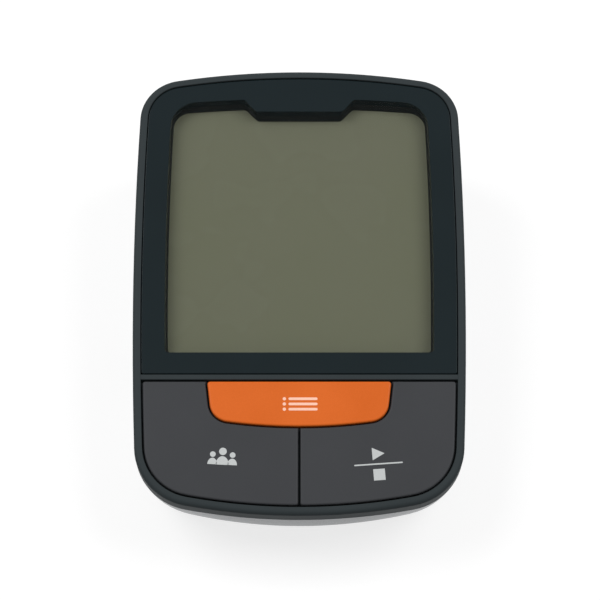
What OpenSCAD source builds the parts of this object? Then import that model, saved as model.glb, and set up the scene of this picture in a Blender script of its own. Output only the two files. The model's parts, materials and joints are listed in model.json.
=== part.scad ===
// Digital blood pressure monitor for the upper arm, as an assembly of separate pieces.
// Origin: middle of the footprint, on the table. X to the right, Y to the rear, Z up.
// The face slopes up to the rear. Everything seated on it is drawn in face coordinates:
// u to the right, v up the slope, w out of the face, with w = 0 at the top of the rim.

/* [Face] */
// Width of the face inside the rim, at its widest
face_w = 95.6; // [94:0.2:97]
// Length of the face inside the rim
face_l = 137.7; // [136:0.5:140]
// How far behind the middle the face is widest
widest_v = 13.5; // [8:0.5:20]
// Radius of the two long side curves
side_r = 1170; // [900:10:1600]
// Radius of the rear curve
rear_r = 235; // [200:5:280]
// Radius of the front curve
front_r = 180; // [165:5:210]
// Radius of the two rear corners of the face
rear_corner_r = 11; // [9:0.5:13]
// Radius of the two front corners of the face
front_corner_r = 16; // [14:0.5:18]
// Slope of the face in degrees
tilt = 8; // [7.5:0.1:8.5]
// Height of the middle of the face above the table
face_h = 38.5; // [38.2:0.1:41]

/* [Upper housing] */
// Width of the rim round the face
rim_w = 2.4; // [2.2:0.1:3]
// Radius of the rounded outer edge of the rim
rim_fillet = 1.4; // [1:0.1:1.8]
// Height of the dark skirt below the rim
skirt_h = 6; // [5.5:0.1:7]
// Wall thickness of both housings
wall = 2; // [1.8:0.1:2.2]
// Thickness of the deck under the window and the keys
deck_t = 1.8; // [1.5:0.1:2]
// Height of the locating lip between the housings
lip_h = 1.1; // [0.8:0.1:1.3]
// Gap between pieces that locate each other
fit_gap = 0.15; // [0.1:0.05:0.2]
// Width of the rail between the window and the keys
rail_w = 1.6; // [1.2:0.1:2]
// Drop of the rail below the rim
rail_drop = 0.15; // [0.1:0.05:0.3]

/* [Lower housing] */
// How far the underside is drawn in at the front
front_tuck = 13.5; // [12:0.5:15]
// How far the belly is drawn in at the front
belly_tuck = 1.6; // [1.4:0.1:3]
// Radius of the belly's front curve
belly_front_r = 110; // [100:5:150]
// Radius of the belly's front corners
belly_corner_r = 24; // [22:1:27]
// How far the underside is drawn in at the sides
side_tuck = 2.2; // [2:0.1:2.4]
// How far the underside is drawn in at the rear
rear_tuck = 6.5; // [6:0.5:7.5]
// Height of the belly's turn above the table
belly_h = 4.5; // [4:0.5:6]
// Thickness of the underside
base_t = 2; // [1.8:0.1:2.2]
// Radius of the underside's front corners
base_corner_r = 18; // [16:1:20]

/* [Window and display] */
// Drop of the window below the rim
lens_drop = 0.3; // [0.2:0.05:0.5]
// Thickness of the window
lens_t = 2; // [1.6:0.1:2.2]
// Thickness of the printed layer under the window
film_t = 0.15; // [0.1:0.05:0.2]
// Thickness of the tape that holds the window
tape_t = 0.25; // [0.2:0.05:0.4]
// Printed border at the sides of the window
border_side = 6.6; // [6.2:0.1:7]
// Printed border at the rear of the window
border_rear = 7.6; // [7:0.1:8]
// Printed border at the front of the window
border_front = 7.3; // [7:0.1:8]
// Radius of the clear opening's rear curve
opening_r = 450; // [350:10:600]
// Radius of the clear opening's rear corners
opening_corner_r = 5; // [4:0.5:6]
// Width of the notch at the rear of the clear opening
notch_w = 33; // [28:1:38]
// Depth of the notch
notch_d = 2.9; // [2:0.1:3.5]
// How much narrower the notch is at its tip, each side
notch_slant = 3.7; // [2.5:0.1:5]
// How far the display's bezel stands inside the clear opening
bezel_in = 1; // [0.8:0.1:1.2]
// Thickness of the bezel over the display
bezel_t = 1; // [0.8:0.1:1.2]
// How far the display's glass reaches under the bezel
glass_under = 1; // [0.9:0.1:1.2]
// Thickness of each of the display's two glasses
glass_t = 1.1; // [0.9:0.1:1.2]
// Width of the contact ledges at the front and rear of the display
ledge_w = 3; // [2.5:0.1:3.5]
// Height of the conductive strips
strip_h = 3.4; // [3.2:0.1:3.6]
// Thickness of the display frame's walls
frame_wall = 0.9; // [0.8:0.1:1]

/* [Keys] */
// Length of the key field, from the front of the face to the rail
field_l = 38.7; // [37.5:0.1:40]
// Gap round each key
key_gap = 0.55; // [0.45:0.05:0.7]
// Thickness of the key caps
cap_t = 1.9; // [1.7:0.1:2]
// Drop of the key caps below the rim
key_drop = 0.05; // [0.05:0.05:0.15]
// Radius of the rounded edge of the key caps
key_edge_r = 0.6; // [0.4:0.1:0.8]
// Width of the memory key at its rear edge
memory_w = 54.6; // [50:0.2:58]
// Length of the memory key on the middle line
memory_l = 13.8; // [12.5:0.1:15]
// Slant of the memory key's sides in degrees
memory_slant = 7; // [4:0.5:10]
// Radius of the memory key's front corners
memory_corner_r = 6; // [5:0.5:7]
// Travel of the keys
key_travel = 0.5; // [0.3:0.1:0.5]
// Radius of the stems under the keys
stem_r = 2.5; // [2:0.1:2.6]
// Distance of the outer stems from the middle line
stem_u = 24; // [22:0.5:26]
// Distance of the outer stems from the front of the face
stem_front = 16; // [15:0.5:17]
// Distance of each hook from its stem
hook_pitch = 8; // [7.5:0.5:9]
// Width of the retaining hooks
hook_w = 3; // [2.5:0.1:3.5]

/* [Circuit board] */
// Thickness of the circuit board
board_t = 1.6; // [1.2:0.1:1.6]
// Distance of the board from the face's edge at the sides
board_side = 5.6; // [5.4:0.1:6]
// Distance of the board from the face's edge at the rear
board_rear = 1.6; // [1.4:0.1:1.8]
// Distance of the board from the face's edge at the front
board_front = 5; // [4:0.5:6]
// Side of the square switch bodies
switch_w = 6; // [5.5:0.5:6.5]
// Height of the switch bodies
switch_h = 3.5; // [3.3:0.1:3.6]
// Radius of the switch plungers
plunger_r = 1.7; // [1.5:0.1:1.9]
// Radius of the sounder
sounder_r = 6; // [5:0.5:6.5]
// Height of the sounder
sounder_h = 4; // [3.5:0.5:5]

/* [Battery bay] */
// Diameter of a cell
cell_d = 14.2; // [13.9:0.1:14.4]
// Length of a cell with its button
cell_l = 50.5; // [49.5:0.1:50.5]
// Distance from one cell to the next
cell_pitch = 14.9; // [14.8:0.1:15]
// Room for the contact spring of a cell
spring_l = 4.2; // [3.8:0.1:4.5]
// Thickness of the contact plates
contact_t = 0.4; // [0.3:0.1:0.5]
// Front end of the battery bay
bay_front = 7; // [6.6:0.1:7.2]
// Thickness of the bay's walls
bay_wall = 1.6; // [1.4:0.1:1.8]
// Thickness of the battery cover
cover_t = 2.1; // [2:0.1:2.3]
// Width of the tongues along the cover's sides
tongue_w = 1.4; // [1.2:0.1:1.5]
// Thickness of the tongues
tongue_t = 0.9; // [0.8:0.1:1]

/* [Pump] */
// Right end of the pump head, where the motor starts
pump_x = 3; // [2:0.5:3.5]
// Distance of the pump's axis behind the middle
pump_y = -8.5; // [-9.5:0.5:-8.5]
// Diameter of the motor
motor_d = 18; // [17:0.5:18]
// Length of the motor
motor_l = 26; // [25:0.5:26.5]
// Thickness of the motor's case
motor_wall = 0.8; // [0.6:0.1:1]
// Diameter of the pump head
head_d = 20; // [19:0.5:20]
// Thickness of the rubber rings round the motor
ring_t = 1.1; // [0.9:0.1:1.2]
// Width of the rubber rings
ring_w = 5; // [4:0.5:6]
// Radius of the motor's shaft
shaft_r = 1; // [0.9:0.1:1.2]
// How far the crank pin stands off the motor's axis
crank_throw = 2; // [1.5:0.1:2.2]

/* [Exhaust valve] */
// Distance of the valve left of the middle
valve_x = -8; // [-9:0.5:-7]
// Distance of the valve's axis behind the middle
valve_y = -36; // [-37:0.5:-35]
// Side of the valve's square frame
valve_w = 12; // [11.5:0.5:12.5]
// Height of the valve's base
valve_base_h = 4.6; // [4.5:0.1:5]
// Height of the coil
coil_h = 5.5; // [5:0.1:5.6]
// Radius of the valve's plunger
core_r = 2.2; // [2:0.1:2.4]
// Travel of the valve's plunger
valve_travel = 0.8; // [0.6:0.1:0.9]

/* [Air path] */
// Outer radius of the hose nozzles
nozzle_r = 1.6; // [1.4:0.1:1.8]
// Radius of the bore through the nozzles
air_bore_r = 0.8; // [0.6:0.1:0.9]
// Length of the hose nozzles
nozzle_l = 4; // [3.8:0.1:4.2]
// Wall thickness of the hoses
hose_t = 0.9; // [0.7:0.1:1]
// Side of the manifold's square body
manifold_w = 6; // [5.6:0.2:6.4]
// Radius of the socket's bore for the cuff plug
socket_bore_r = 3.3; // [3:0.1:3.6]
// Depth of the socket's bore
socket_depth = 8; // [7.5:0.1:8.2]
// Outer radius of the air socket
socket_r = 5.5; // [5:0.1:6]

/* [Power jack] */
// Distance of the jack behind the middle of the face
jack_v = -9; // [-11:0.5:-8]
// Radius of the jack's opening
jack_bore_r = 2.75; // [2.5:0.05:3]
// Depth of the jack's opening
jack_depth = 9.5; // [9:0.1:10]
// Width of the jack's body
jack_w = 9; // [8.6:0.2:9.4]
// Height of the jack's body
jack_h = 10.5; // [10:0.1:11]
// Radius of the jack's centre pin
jack_pin_r = 0.85; // [0.7:0.05:1]

/* [Screws and feet] */
// Distance of the housing screws from the middle line
screw_x = 44.3; // [44.2:0.1:44.5]
// Distance of the front housing screws before the middle
screw_front_y = -33; // [-34:0.5:-31]
// Distance of the rear housing screws behind the middle
screw_rear_y = 44; // [40:0.5:46]
// Outer radius of the screw bosses
boss_r = 3.2; // [3:0.1:3.3]
// Radius of the housing screws' thread
screw_r = 1.1; // [1:0.05:1.15]
// Length of the housing screws under the head
screw_l = 10; // [9:0.5:10.5]
// Radius of the housing screws' heads
screw_head_r = 1.85; // [1.7:0.05:1.9]
// How far the upper bosses reach below the seam
boss_drop = 7; // [6.5:0.1:7.5]
// Radius of the rubber feet
foot_r = 4.8; // [4:0.1:5]
// How far the feet stand out of the underside
foot_h = 1.2; // [1:0.1:1.4]
// Depth of the recesses for the feet
foot_seat = 0.6; // [0.4:0.1:0.7]
// Distance of the feet from the middle line
foot_x = 38.5; // [38:0.1:38.8]
// Distance of the front feet from the underside's front edge
foot_front = 13; // [12:0.5:15]
// Distance of the rear feet from the underside's rear edge
foot_rear = 10; // [9:0.5:12]

/* [Hidden] */

$fn = 48;
housing_grey = "#3f4142";
silver_grey = "#a2a4a5";
key_grey = "#434547";
memory_orange = "#d9692b";
window_black = "#20292c";
display_grey = "#676b5d";
board_green = "#1f5a3c";
steel = "#b9bcc0";
brass = "#c8a256";
rubber = "#2b2b2d";
cream = "#e6e2d6";
copper = "#b5652f";

// Steps of the curves and rings of the lofted shells
arc_steps = 8;
side_steps = 4;
corner_steps = 7;
fillet_steps = 4;
belly_steps = 7;
// Overlap of solids that join face to face, and how far a loft runs past its trimming plane
skin = 0.01;
trim = 0.1;

half_face = face_w / 2;
face_front = -face_l / 2;
face_rear = face_l / 2;

// The face is placed so that the whole footprint is centred on the origin
front_reach = (face_l / 2 + rim_w - rim_fillet) * cos(tilt) - rim_fillet * sin(tilt) + rim_fillet;
rear_reach = (face_l / 2 + rim_w) * cos(tilt) + skirt_h * sin(tilt);
face_y = (front_reach - rear_reach) / 2;

// Levels below the rim, as w
lens_top = -lens_drop;
lens_floor = lens_top - lens_t;
film_floor = lens_floor - film_t;
deck_top = film_floor - tape_t;
deck_floor = deck_top - deck_t;
bezel_top = deck_floor - fit_gap;
glass_top = bezel_top - bezel_t;
glass_mid = glass_top - glass_t;
glass_floor = glass_mid - glass_t;
board_top = glass_mid - strip_h;
board_floor = board_top - board_t;
reflector_t = 0.3;

// Places along the face, as v
rail_front = face_front + field_l;
rail_rear = rail_front + rail_w;
lens_front = rail_rear + fit_gap;
opening_front = lens_front + border_front;
opening_rear = face_rear - border_rear;
glass_front = opening_front + bezel_in - glass_under;
glass_rear = opening_rear - bezel_in + glass_under;
glass_half = half_face - border_side - bezel_in + glass_under;
frame_half = glass_half + fit_gap + frame_wall;
frame_front = glass_front - fit_gap - frame_wall;
frame_rear = glass_rear + fit_gap + frame_wall;
key_rear = rail_front - key_gap;
memory_front = key_rear - memory_l;
stem_v = face_front + stem_front;
memory_stem_v = key_rear - memory_l / 2;
cap_floor = -key_drop - cap_t;
plunger_top = board_top + switch_h + 1;
lip_in = wall / 2;
lip_t = wall / 2 - fit_gap - 0.1;
hook_t = 1.2;
hook_catch = 0.7;

// Lower housing
base_z = foot_h;
floor_z = base_z + base_t;
seam_gap = 0.12;
seam_front = face_y - (face_l / 2 + rim_w) * cos(tilt) + skirt_h * sin(tilt);
seam_rear = face_y + rear_reach;
base_front = seam_front + front_tuck;
base_rear = seam_rear - rear_tuck;
base_half = half_face + rim_w - side_tuck;

// Battery bay and cover
cover_top = base_z + cover_t;
cover_half = 2 * cell_pitch + 1.2;
cover_front = bay_front - 2.2;
tongue_floor = cover_top - tongue_t;
bay_half = 2 * cell_pitch + 0.2;
bay_l = cell_l + spring_l + 2 * contact_t;
bay_rear = bay_front + bay_l;
bay_roof = cover_top + fit_gap * 2 + cell_d + 0.4;
cell_z = cover_top + fit_gap * 2 + cell_d / 2;
bay_half_out = cover_half + tongue_w + fit_gap + bay_wall;
button_r = 2.6;
button_l = 1.3;
spring_wire_r = 0.4;
spring_coil_r = 3;
contact_w = 9;
tab_w = 3;
tab_top = bay_roof + bay_wall + 1.5;
wire_r = 0.55;

// Pump
cradle_gap = 0.1;
motor_r = motor_d / 2;
ring_r = motor_r + ring_t;
pump_z = floor_z + 0.5 + ring_r;
head_r = head_d / 2;
crank_room = 9;
crank_front = -crank_room + 2.6;
crank_r = 4.6;
head_wall = 1.2;
pin_r = 1;
shaft_front = crank_front + 1;
terminal_gap = 4.5;
terminal_l = 2;
diaphragm_t = 1;
plate_t = 1.2;
plate_pos = -crank_room - plate_t;
diaphragm_pos = plate_pos - 0.6 - diaphragm_t;
cover_l = 5;
pump_end = diaphragm_pos - cover_l;
cap_plate_t = 2;
rotor_start = 4;
rotor_l = 13;
rotor_r = 6.2;
cup_circle = 5.6;
cup_r = 2.2;
ring_places = [3, motor_l - ring_w - 4];

// Air path, from right to left
pump_tip_x = pump_x + pump_end - nozzle_l;
hose_play = 1;
hose_bore_r = nozzle_r + 0.05;
hose_r = hose_bore_r + hose_t;
hose_end_gap = 0.3;
manifold_x = pump_tip_x - hose_play - nozzle_l - manifold_w / 2;
manifold_half = manifold_w / 2;
slant_seat = manifold_half * sqrt(2);
// How far the hoses' curves reach along their ends: valve hose at both ends, sensor hose
valve_sweep = [10, 9];
sensor_sweep = 5;
socket_tip_x = manifold_x - manifold_w / 2 - nozzle_l - hose_play;
socket_neck_x = socket_tip_x - nozzle_l;
socket_face_x = -(half_face + rim_w - 1);
socket_flange_x = -(half_face + rim_w - wall - 1.45);
socket_flange_t = 1.6;
sensor_u = manifold_x;
sensor_v = 16;
sensor_w = 8;
sensor_h = 5.4;
sensor_nozzle_w = board_floor - sensor_h + 1.9;

// Exhaust valve
valve_z = floor_z;
valve_nozzle_z = valve_z + hose_r + fit_gap;
seat_h = 0.6;
valve_gap_z = valve_z + valve_base_h + seat_h + valve_travel;
frame_t = 0.9;
coil_r = valve_w / 2 - frame_t - 0.5;
core_collar_r = core_r + 0.9;
core_collar_t = 0.6;
valve_spring_z = valve_z + valve_base_h + frame_t;
valve_spring_l = 2.2;
collar_z = valve_spring_z + valve_spring_l;
coil_z = collar_z + core_collar_t + 0.4;
valve_top = coil_z + coil_h + frame_t;

// Power jack, as w, below the board
jack_axis_w = board_floor - jack_h / 2;
jack_wall = half_face + rim_w;
jack_mouth_u = jack_wall - 1.2;
jack_l = 14;
jack_collar_r = 4;

// On the underside of the board: u, v, width, length and height of each chip
chips = [[14, 30, 14, 14, 1.6], [-6, 34, 6, 5, 1.4], [24, 8, 8, 6, 1.8], [-20, 40, 10, 4, 3]];
// u, v, height and radius of each capacitor
capacitors = [[34, 26, 6, 2.6], [34, 36, 5, 2]];
// Plugs of the cells, the motor and the valve
plugs_at = [[-4, 16], [30, -30], [-17, -24]];
plug_size = [7, 4.6, 4];
plug_wall = 0.7;
plug_floor = 1.4;
wire_gap = 2;
wire_lead = 0.5;
sounder_at = [12, face_front + 22.85];

// Screws
head_h = 1.6;
head_seat = 4;
board_screw_r = 0.9;
board_screw_l = 5;
// Flat flank of the upper screw bosses, clear of the lower housing's wall
boss_flank = half_face + rim_w - wall - side_tuck + 0.8;
board_screws_at = [
    [-14, face_rear - 4], [14, face_rear - 4],
    [-30, face_front + 10.5], [30, face_front + 10.5]
];
post_r = 2;
housing_screws_at = [
    [-screw_x, screw_front_y], [screw_x, screw_front_y],
    [-screw_x, screw_rear_y], [screw_x, screw_rear_y]
];
feet_at = [
    [-foot_x, base_front + foot_front], [foot_x, base_front + foot_front],
    [-foot_x, base_rear - foot_rear], [foot_x, base_rear - foot_rear]
];

// An outline is a chain of edges, counter-clockwise. Each edge is [is it an arc, direction
// or centre, distance or radius, radius of the corner after it, steps]. The third value
// shrinks by the inset on both kinds, so parallel outlines come from one chain.
function line_edge(angle, dist, corner) = [false, [cos(angle), sin(angle)], dist, corner, 1];
function arc_edge(centre, r, corner, steps) = [true, centre, r, corner, steps];
function shrink(e, d) = [e[0], e[1], e[2] - d, e[3], e[4]];
function unit(p) = p / norm(p);
function turn(p) = [-p.y, p.x];
function heading(p) = atan2(p.y, p.x);

// Where one edge of a chain meets the next
function meet(a, b) =
    a[0] && b[0] ? meet_arcs(a, b) :
    a[0] ? b[1] * b[2] + turn(b[1]) * (turn(b[1]) * a[1] - chord(a, b)) :
    b[0] ? a[1] * a[2] + turn(a[1]) * (turn(a[1]) * b[1] + chord(b, a)) :
    meet_lines(a, b);
function chord(arc, line) = sqrt(arc[2] * arc[2] - pow(line[2] - line[1] * arc[1], 2));
function meet_arcs(a, b) =
    let (
        gap = norm(b[1] - a[1]),
        e = unit(b[1] - a[1]),
        along = (a[2] * a[2] - b[2] * b[2] + gap * gap) / (2 * gap)
    )
    a[1] + e * along + turn(e) * sqrt(a[2] * a[2] - along * along);
function meet_lines(a, b) =
    let (det = a[1].x * b[1].y - a[1].y * b[1].x)
    [(a[2] * b[1].y - b[2] * a[1].y) / det, (a[1].x * b[2] - b[1].x * a[2]) / det];

// Direction that an edge faces at a point beside it
function facing(e, p) = e[0] ? heading(p - e[1]) : heading(e[1]);
function after(angle, start) = angle < start - 1e-6 ? after(angle + 360, start) : angle;

function outline(chain, inset = 0) = [
    for (i = [0 : len(chain) - 1])
        let (
            before = chain[(i + len(chain) - 1) % len(chain)],
            this = chain[i],
            next = chain[(i + 1) % len(chain)],
            r0 = max(before[3], inset + 0.02),
            r1 = max(this[3], inset + 0.02),
            c0 = meet(shrink(before, r0), shrink(this, r0)),
            c1 = meet(shrink(this, r1), shrink(next, r1)),
            a0 = facing(this, c0),
            a1 = after(facing(this, c1), a0),
            a2 = after(facing(next, c1), a1),
            turns = r1 > 2 ? corner_steps : 2
        )
        each concat(
            [for (k = [1 : 1 : this[4] - 1]) let (a = a0 + (a1 - a0) * k / this[4])
                this[1] + (this[2] - inset) * [cos(a), sin(a)]],
            [for (k = [0 : turns]) let (a = a1 + (a2 - a1) * k / turns)
                c1 + (r1 - inset) * [cos(a), sin(a)]]
        )
];

function body_chain(half, front, rear, mid, front_corner, rear_corner) = [
    arc_edge([half - side_r, mid], side_r, rear_corner, side_steps),
    arc_edge([0, rear - rear_r], rear_r, rear_corner, arc_steps),
    arc_edge([side_r - half, mid], side_r, front_corner, side_steps),
    arc_edge([0, front + front_r], front_r, front_corner, arc_steps)
];
function box_chain(x0, y0, x1, y1, corner) = [
    line_edge(0, x1, corner), line_edge(90, y1, corner),
    line_edge(180, -x0, corner), line_edge(270, -y0, corner)
];

face_chain = body_chain(half_face, face_front, face_rear, widest_v, front_corner_r, rear_corner_r);
lens_chain = [face_chain[0], face_chain[1],
    arc_edge(face_chain[2][1], side_r, 0.8, side_steps), line_edge(270, -lens_front, 0.8)];
opening_chain = [
    arc_edge(face_chain[0][1], side_r - border_side, opening_corner_r, side_steps),
    arc_edge([0, opening_rear - opening_r], opening_r, opening_corner_r, arc_steps),
    arc_edge(face_chain[2][1], side_r - border_side, 1.2, side_steps),
    line_edge(270, -opening_front, 1.2)
];
memory_chain = [
    line_edge(-memory_slant, (memory_w / 2) * cos(memory_slant) - key_rear * sin(memory_slant), 0.8),
    line_edge(90, key_rear, 0.8),
    line_edge(180 + memory_slant,
        (memory_w / 2) * cos(memory_slant) - key_rear * sin(memory_slant), memory_corner_r),
    arc_edge(face_chain[3][1], face_chain[3][1].y - memory_front, memory_corner_r, arc_steps)
];
// Right half of the key field, before the memory key is cut out of it
side_key_chain = [
    shrink(arc_edge(face_chain[0][1], side_r, 0.8, side_steps), key_gap),
    line_edge(90, key_rear, 0.8),
    line_edge(180, -key_gap / 2, 0.8),
    shrink(arc_edge(face_chain[3][1], front_r, front_corner_r - key_gap, arc_steps), key_gap)
];
board_chain = body_chain(half_face - board_side, face_front + board_front,
    face_rear - board_rear, widest_v, front_corner_r - 2, 3);

// From face coordinates to the table's
function from_face(p) = [
    p[0], face_y + p[1] * cos(tilt) - p[2] * sin(tilt), face_h + p[1] * sin(tilt) + p[2] * cos(tilt)
];
module on_face() {
    translate([0, face_y, face_h]) rotate([tilt, 0, 0]) children();
}

// A closed shell through rings of points, from the lowest ring to the highest
module loft(rings) {
    n = len(rings[0]);
    top = len(rings) - 1;
    points = [for (ring = rings) each ring];
    sides = [for (k = [0 : top - 1], i = [0 : n - 1])
        let (a = k * n + i, b = k * n + (i + 1) % n)
        each [[a, a + n, b + n], [a, b + n, b]]];
    polyhedron(points, concat([[for (i = [0 : n - 1]) i]],
        [[for (i = [n - 1 : -1 : 0]) top * n + i]], sides), convexity = 4);
}

// A shell over an outline whose inset changes with height: profile is [inset, height] pairs
module moulded(chain, profile) {
    loft([for (p = profile) [for (q = outline(chain, p[0])) [q.x, q.y, p[1]]]]);
}
module plate(chain, inset, floor, top) {
    translate([0, 0, floor]) linear_extrude(top - floor) polygon(outline(chain, inset));
}
module block(x0, y0, z0, x1, y1, z1) {
    translate([x0, y0, z0]) cube([x1 - x0, y1 - y0, z1 - z0]);
}
module peg(x, y, z0, z1, r) {
    translate([x, y, z0]) cylinder(h = z1 - z0, r = r);
}

// Profile of a top edge rounded by r, down to the floor level
function rounded_top(inset, floor, top, r) = concat([[inset, floor]],
    [for (k = [0 : fillet_steps]) let (a = 90 * k / fillet_steps)
        [inset + r * (1 - cos(a)), top - r + r * sin(a)]]);

// A round hose or wire along a curve that leaves p0 along d0 and reaches p1 along d1
function bend(p0, d0, p1, d1, steps) = [for (k = [0 : steps]) let (t = k / steps, s = 1 - t)
    s * s * s * p0 + 3 * s * s * t * (p0 + d0) + 3 * s * t * t * (p1 - d1) + t * t * t * p1];
// The same, with a straight stretch at both ends
function run_straight(l, p0, d0, p1, d1, steps) =
    concat([p0], bend(p0 + l * unit(d0), d0, p1 - l * unit(d1), d1, steps), [p1]);
module hose(path, r, sides, up = [1, 0, 0]) {
    last = len(path) - 1;
    loft([for (k = [0 : last])
        let (
            ahead = unit(path[min(k + 1, last)] - path[max(k - 1, 0)]),
            across = unit(cross(up, ahead)),
            over = cross(ahead, across)
        )
        [for (i = [0 : sides - 1]) let (a = 360 * i / sides)
            path[k] + r * (cos(a) * across + sin(a) * over)]]);
}

// A helical spring of round wire, standing on the floor level
module coil_spring(r, wire, length, turns, rings, sides) {
    count = turns * rings;
    loft([for (k = [0 : count])
        let (
            a = 360 * k / rings,
            out = [cos(a), sin(a), 0],
            ahead = unit([-sin(a) * r, cos(a) * r, (length - 2 * wire) / (turns * 2 * PI)]),
            over = cross(ahead, out)
        )
        [for (i = [0 : sides - 1]) let (b = -360 * i / sides)
            out * (r + wire * cos(b)) + over * wire * sin(b)
            + [0, 0, wire + (length - 2 * wire) * k / count]]]);
}

module pan_screw(r, length, head_r) {
    slot = head_r * 0.35;
    difference() {
        union() {
            cylinder(h = length, r = r);
            translate([0, 0, -head_h]) cylinder(h = head_h, r1 = head_r * 0.8, r2 = head_r);
        }
        for (a = [0, 90]) rotate([0, 0, a])
            block(-head_r * 0.6, -slot / 2, -head_h - 1, head_r * 0.6, slot / 2, -head_h / 2);
    }
}

// Clear opening of the window, with its notch; the notch can be grown for the bezel below it
module opening(inset, floor, top, notch_more = 0) {
    tip = opening_rear - notch_d - notch_more;
    half = notch_w / 2 + inset;
    difference() {
        plate(opening_chain, inset, floor, top);
        translate([0, 0, floor - 1]) linear_extrude(top - floor + 2) polygon([
            [-half, opening_rear - inset], [-half - 2, face_rear], [half + 2, face_rear],
            [half, opening_rear - inset], [half - notch_slant, tip], [notch_slant - half, tip]
        ]);
    }
}

// Skin of the lower housing, curved from just below the underside out to the belly and
// up to the skirt
function belly_rings(inset, lift) =
    let (
        seam = [for (q = outline(face_chain, inset - rim_w)) from_face([q.x, q.y, -skirt_h])],
        sides = body_chain(base_half + side_tuck, seam_front, seam_rear,
            widest_v, belly_corner_r, rear_corner_r + rim_w),
        nose = arc_edge([0, seam_front + belly_tuck + belly_front_r], belly_front_r,
            belly_corner_r, arc_steps),
        belly = outline([sides[0], sides[1], sides[2], nose], inset),
        base = outline(body_chain(base_half, base_front, base_rear,
            widest_v, base_corner_r, rear_corner_r + rim_w), inset)
    )
    [for (k = [0 : belly_steps]) let (t = k / belly_steps, s = 1 - t)
        [for (i = [0 : len(seam) - 1])
            t * t * seam[i]
            + 2 * t * s * [belly[i].x, belly[i].y, belly_h + lift]
            + s * s * [base[i].x, base[i].y, base_z + lift - trim]]];

// The whole body below the seam, trimmed flat at the seam and at the underside
module belly_solid() {
    size = 2 * face_l;
    difference() {
        loft(belly_rings(0, 0));
        on_face() block(-size, -size, -skirt_h - seam_gap, size, size, size);
        block(-size, -size, -size, size, size, base_z);
    }
}
module belly_room() {
    size = 2 * face_l;
    difference() {
        loft(belly_rings(wall, base_t));
        block(-size, -size, -size, size, size, floor_z);
    }
}

// Places where the upper and the lower screw bosses meet
function boss_meet(y) = from_face([0, (y - face_y) / cos(tilt), -skirt_h])[2] - boss_drop;
function boss_root(y) = from_face([0, (y - face_y) / cos(tilt), (deck_top + deck_floor) / 2])[2];

module upper_housing() {
    color(housing_grey) difference() {
        union() {
            on_face() upper_shell();
            for (p = housing_screws_at) intersection() {
                peg(p.x, p.y, boss_meet(p.y), boss_root(p.y), boss_r);
                block(p.x > 0 ? frame_half + fit_gap : -boss_flank, -face_l, 0,
                    p.x > 0 ? boss_flank : -frame_half - fit_gap, face_l, face_l);
            }
        }
        for (p = housing_screws_at)
            peg(p.x, p.y, boss_meet(p.y) - 1,
                boss_meet(p.y) - head_seat + screw_l + 0.5, screw_r + 0.02);
    }
}

module upper_shell() {
    difference() {
        union() {
            difference() {
                moulded(face_chain, rounded_top(-rim_w, -skirt_h, 0, rim_fillet));
                plate(face_chain, 0, deck_top, 1);
                plate(face_chain, wall - rim_w, -skirt_h - 1, deck_floor);
                plate(face_chain, lip_in - rim_w, -skirt_h - 1, lip_h + fit_gap - skirt_h);
            }
            intersection() {
                plate(face_chain, -rim_w / 2, deck_floor, -rail_drop);
                block(-half_face - rim_w, rail_front, deck_floor, half_face + rim_w, rail_rear, 0);
            }
            for (p = board_screws_at) peg(p.x, p.y, board_top, deck_floor + skin, post_r);
        }
        opening(0, deck_floor - 1, deck_top + 1);
        for (p = board_screws_at)
            peg(p.x, p.y, board_top - 1,
                board_top + board_screw_l - board_t + 0.3, board_screw_r + 0.02);
        for (p = key_stems()) {
            peg(p.x, p.y, deck_floor - 1, deck_top + 1, stem_r + 0.3);
            for (side = [-1, 1]) hook_slot(p.x + side * hook_pitch, p.y, side);
        }
    }
}

// Stems of the memory, user and start keys
function key_stems() = [[0, memory_stem_v], [-stem_u, stem_v], [stem_u, stem_v]];

module hook_slot(u, v, side) {
    outer = hook_t / 2 + hook_catch + fit_gap * 2;
    inner = hook_t / 2 + fit_gap;
    block(side > 0 ? u - inner : u - outer, v - hook_w / 2 - fit_gap, deck_floor - 1,
        side > 0 ? u + outer : u + inner, v + hook_w / 2 + fit_gap, deck_top + 1);
}

module lower_housing() {
    color(silver_grey) difference() {
        union() {
            difference() {
                belly_solid();
                belly_room();
            }
            lip();
            bay_shell();
            lower_bosses();
            for (place = ring_places) saddle(pump_x + place, ring_w, ring_r);
            saddle(socket_flange_x + socket_flange_t + fit_gap, wall, socket_r);
        }
        bay_room();
        cover_channel();
        for (p = housing_screws_at) {
            peg(p.x, p.y, 0, boss_meet(p.y) - head_seat, screw_head_r + 0.2);
            peg(p.x, p.y, boss_meet(p.y) - head_seat - 1, boss_meet(p.y) + 1, screw_r + 0.15);
        }
        for (p = feet_at) peg(p.x, p.y, 0, base_z + foot_seat, foot_r + fit_gap);
        air_axis() cylinder(h = half_face + rim_w, r = socket_r + fit_gap);
        on_face() jack_axis() cylinder(h = half_face + rim_w, r = jack_collar_r + fit_gap);
    }
}

// Lip that locates the upper housing
module lip() {
    on_face() difference() {
        plate(face_chain, lip_in + fit_gap - rim_w, -skirt_h - 1, lip_h - skirt_h);
        plate(face_chain, lip_in + fit_gap + lip_t - rim_w, -skirt_h - 2, lip_h - skirt_h + 1);
    }
}

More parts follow.
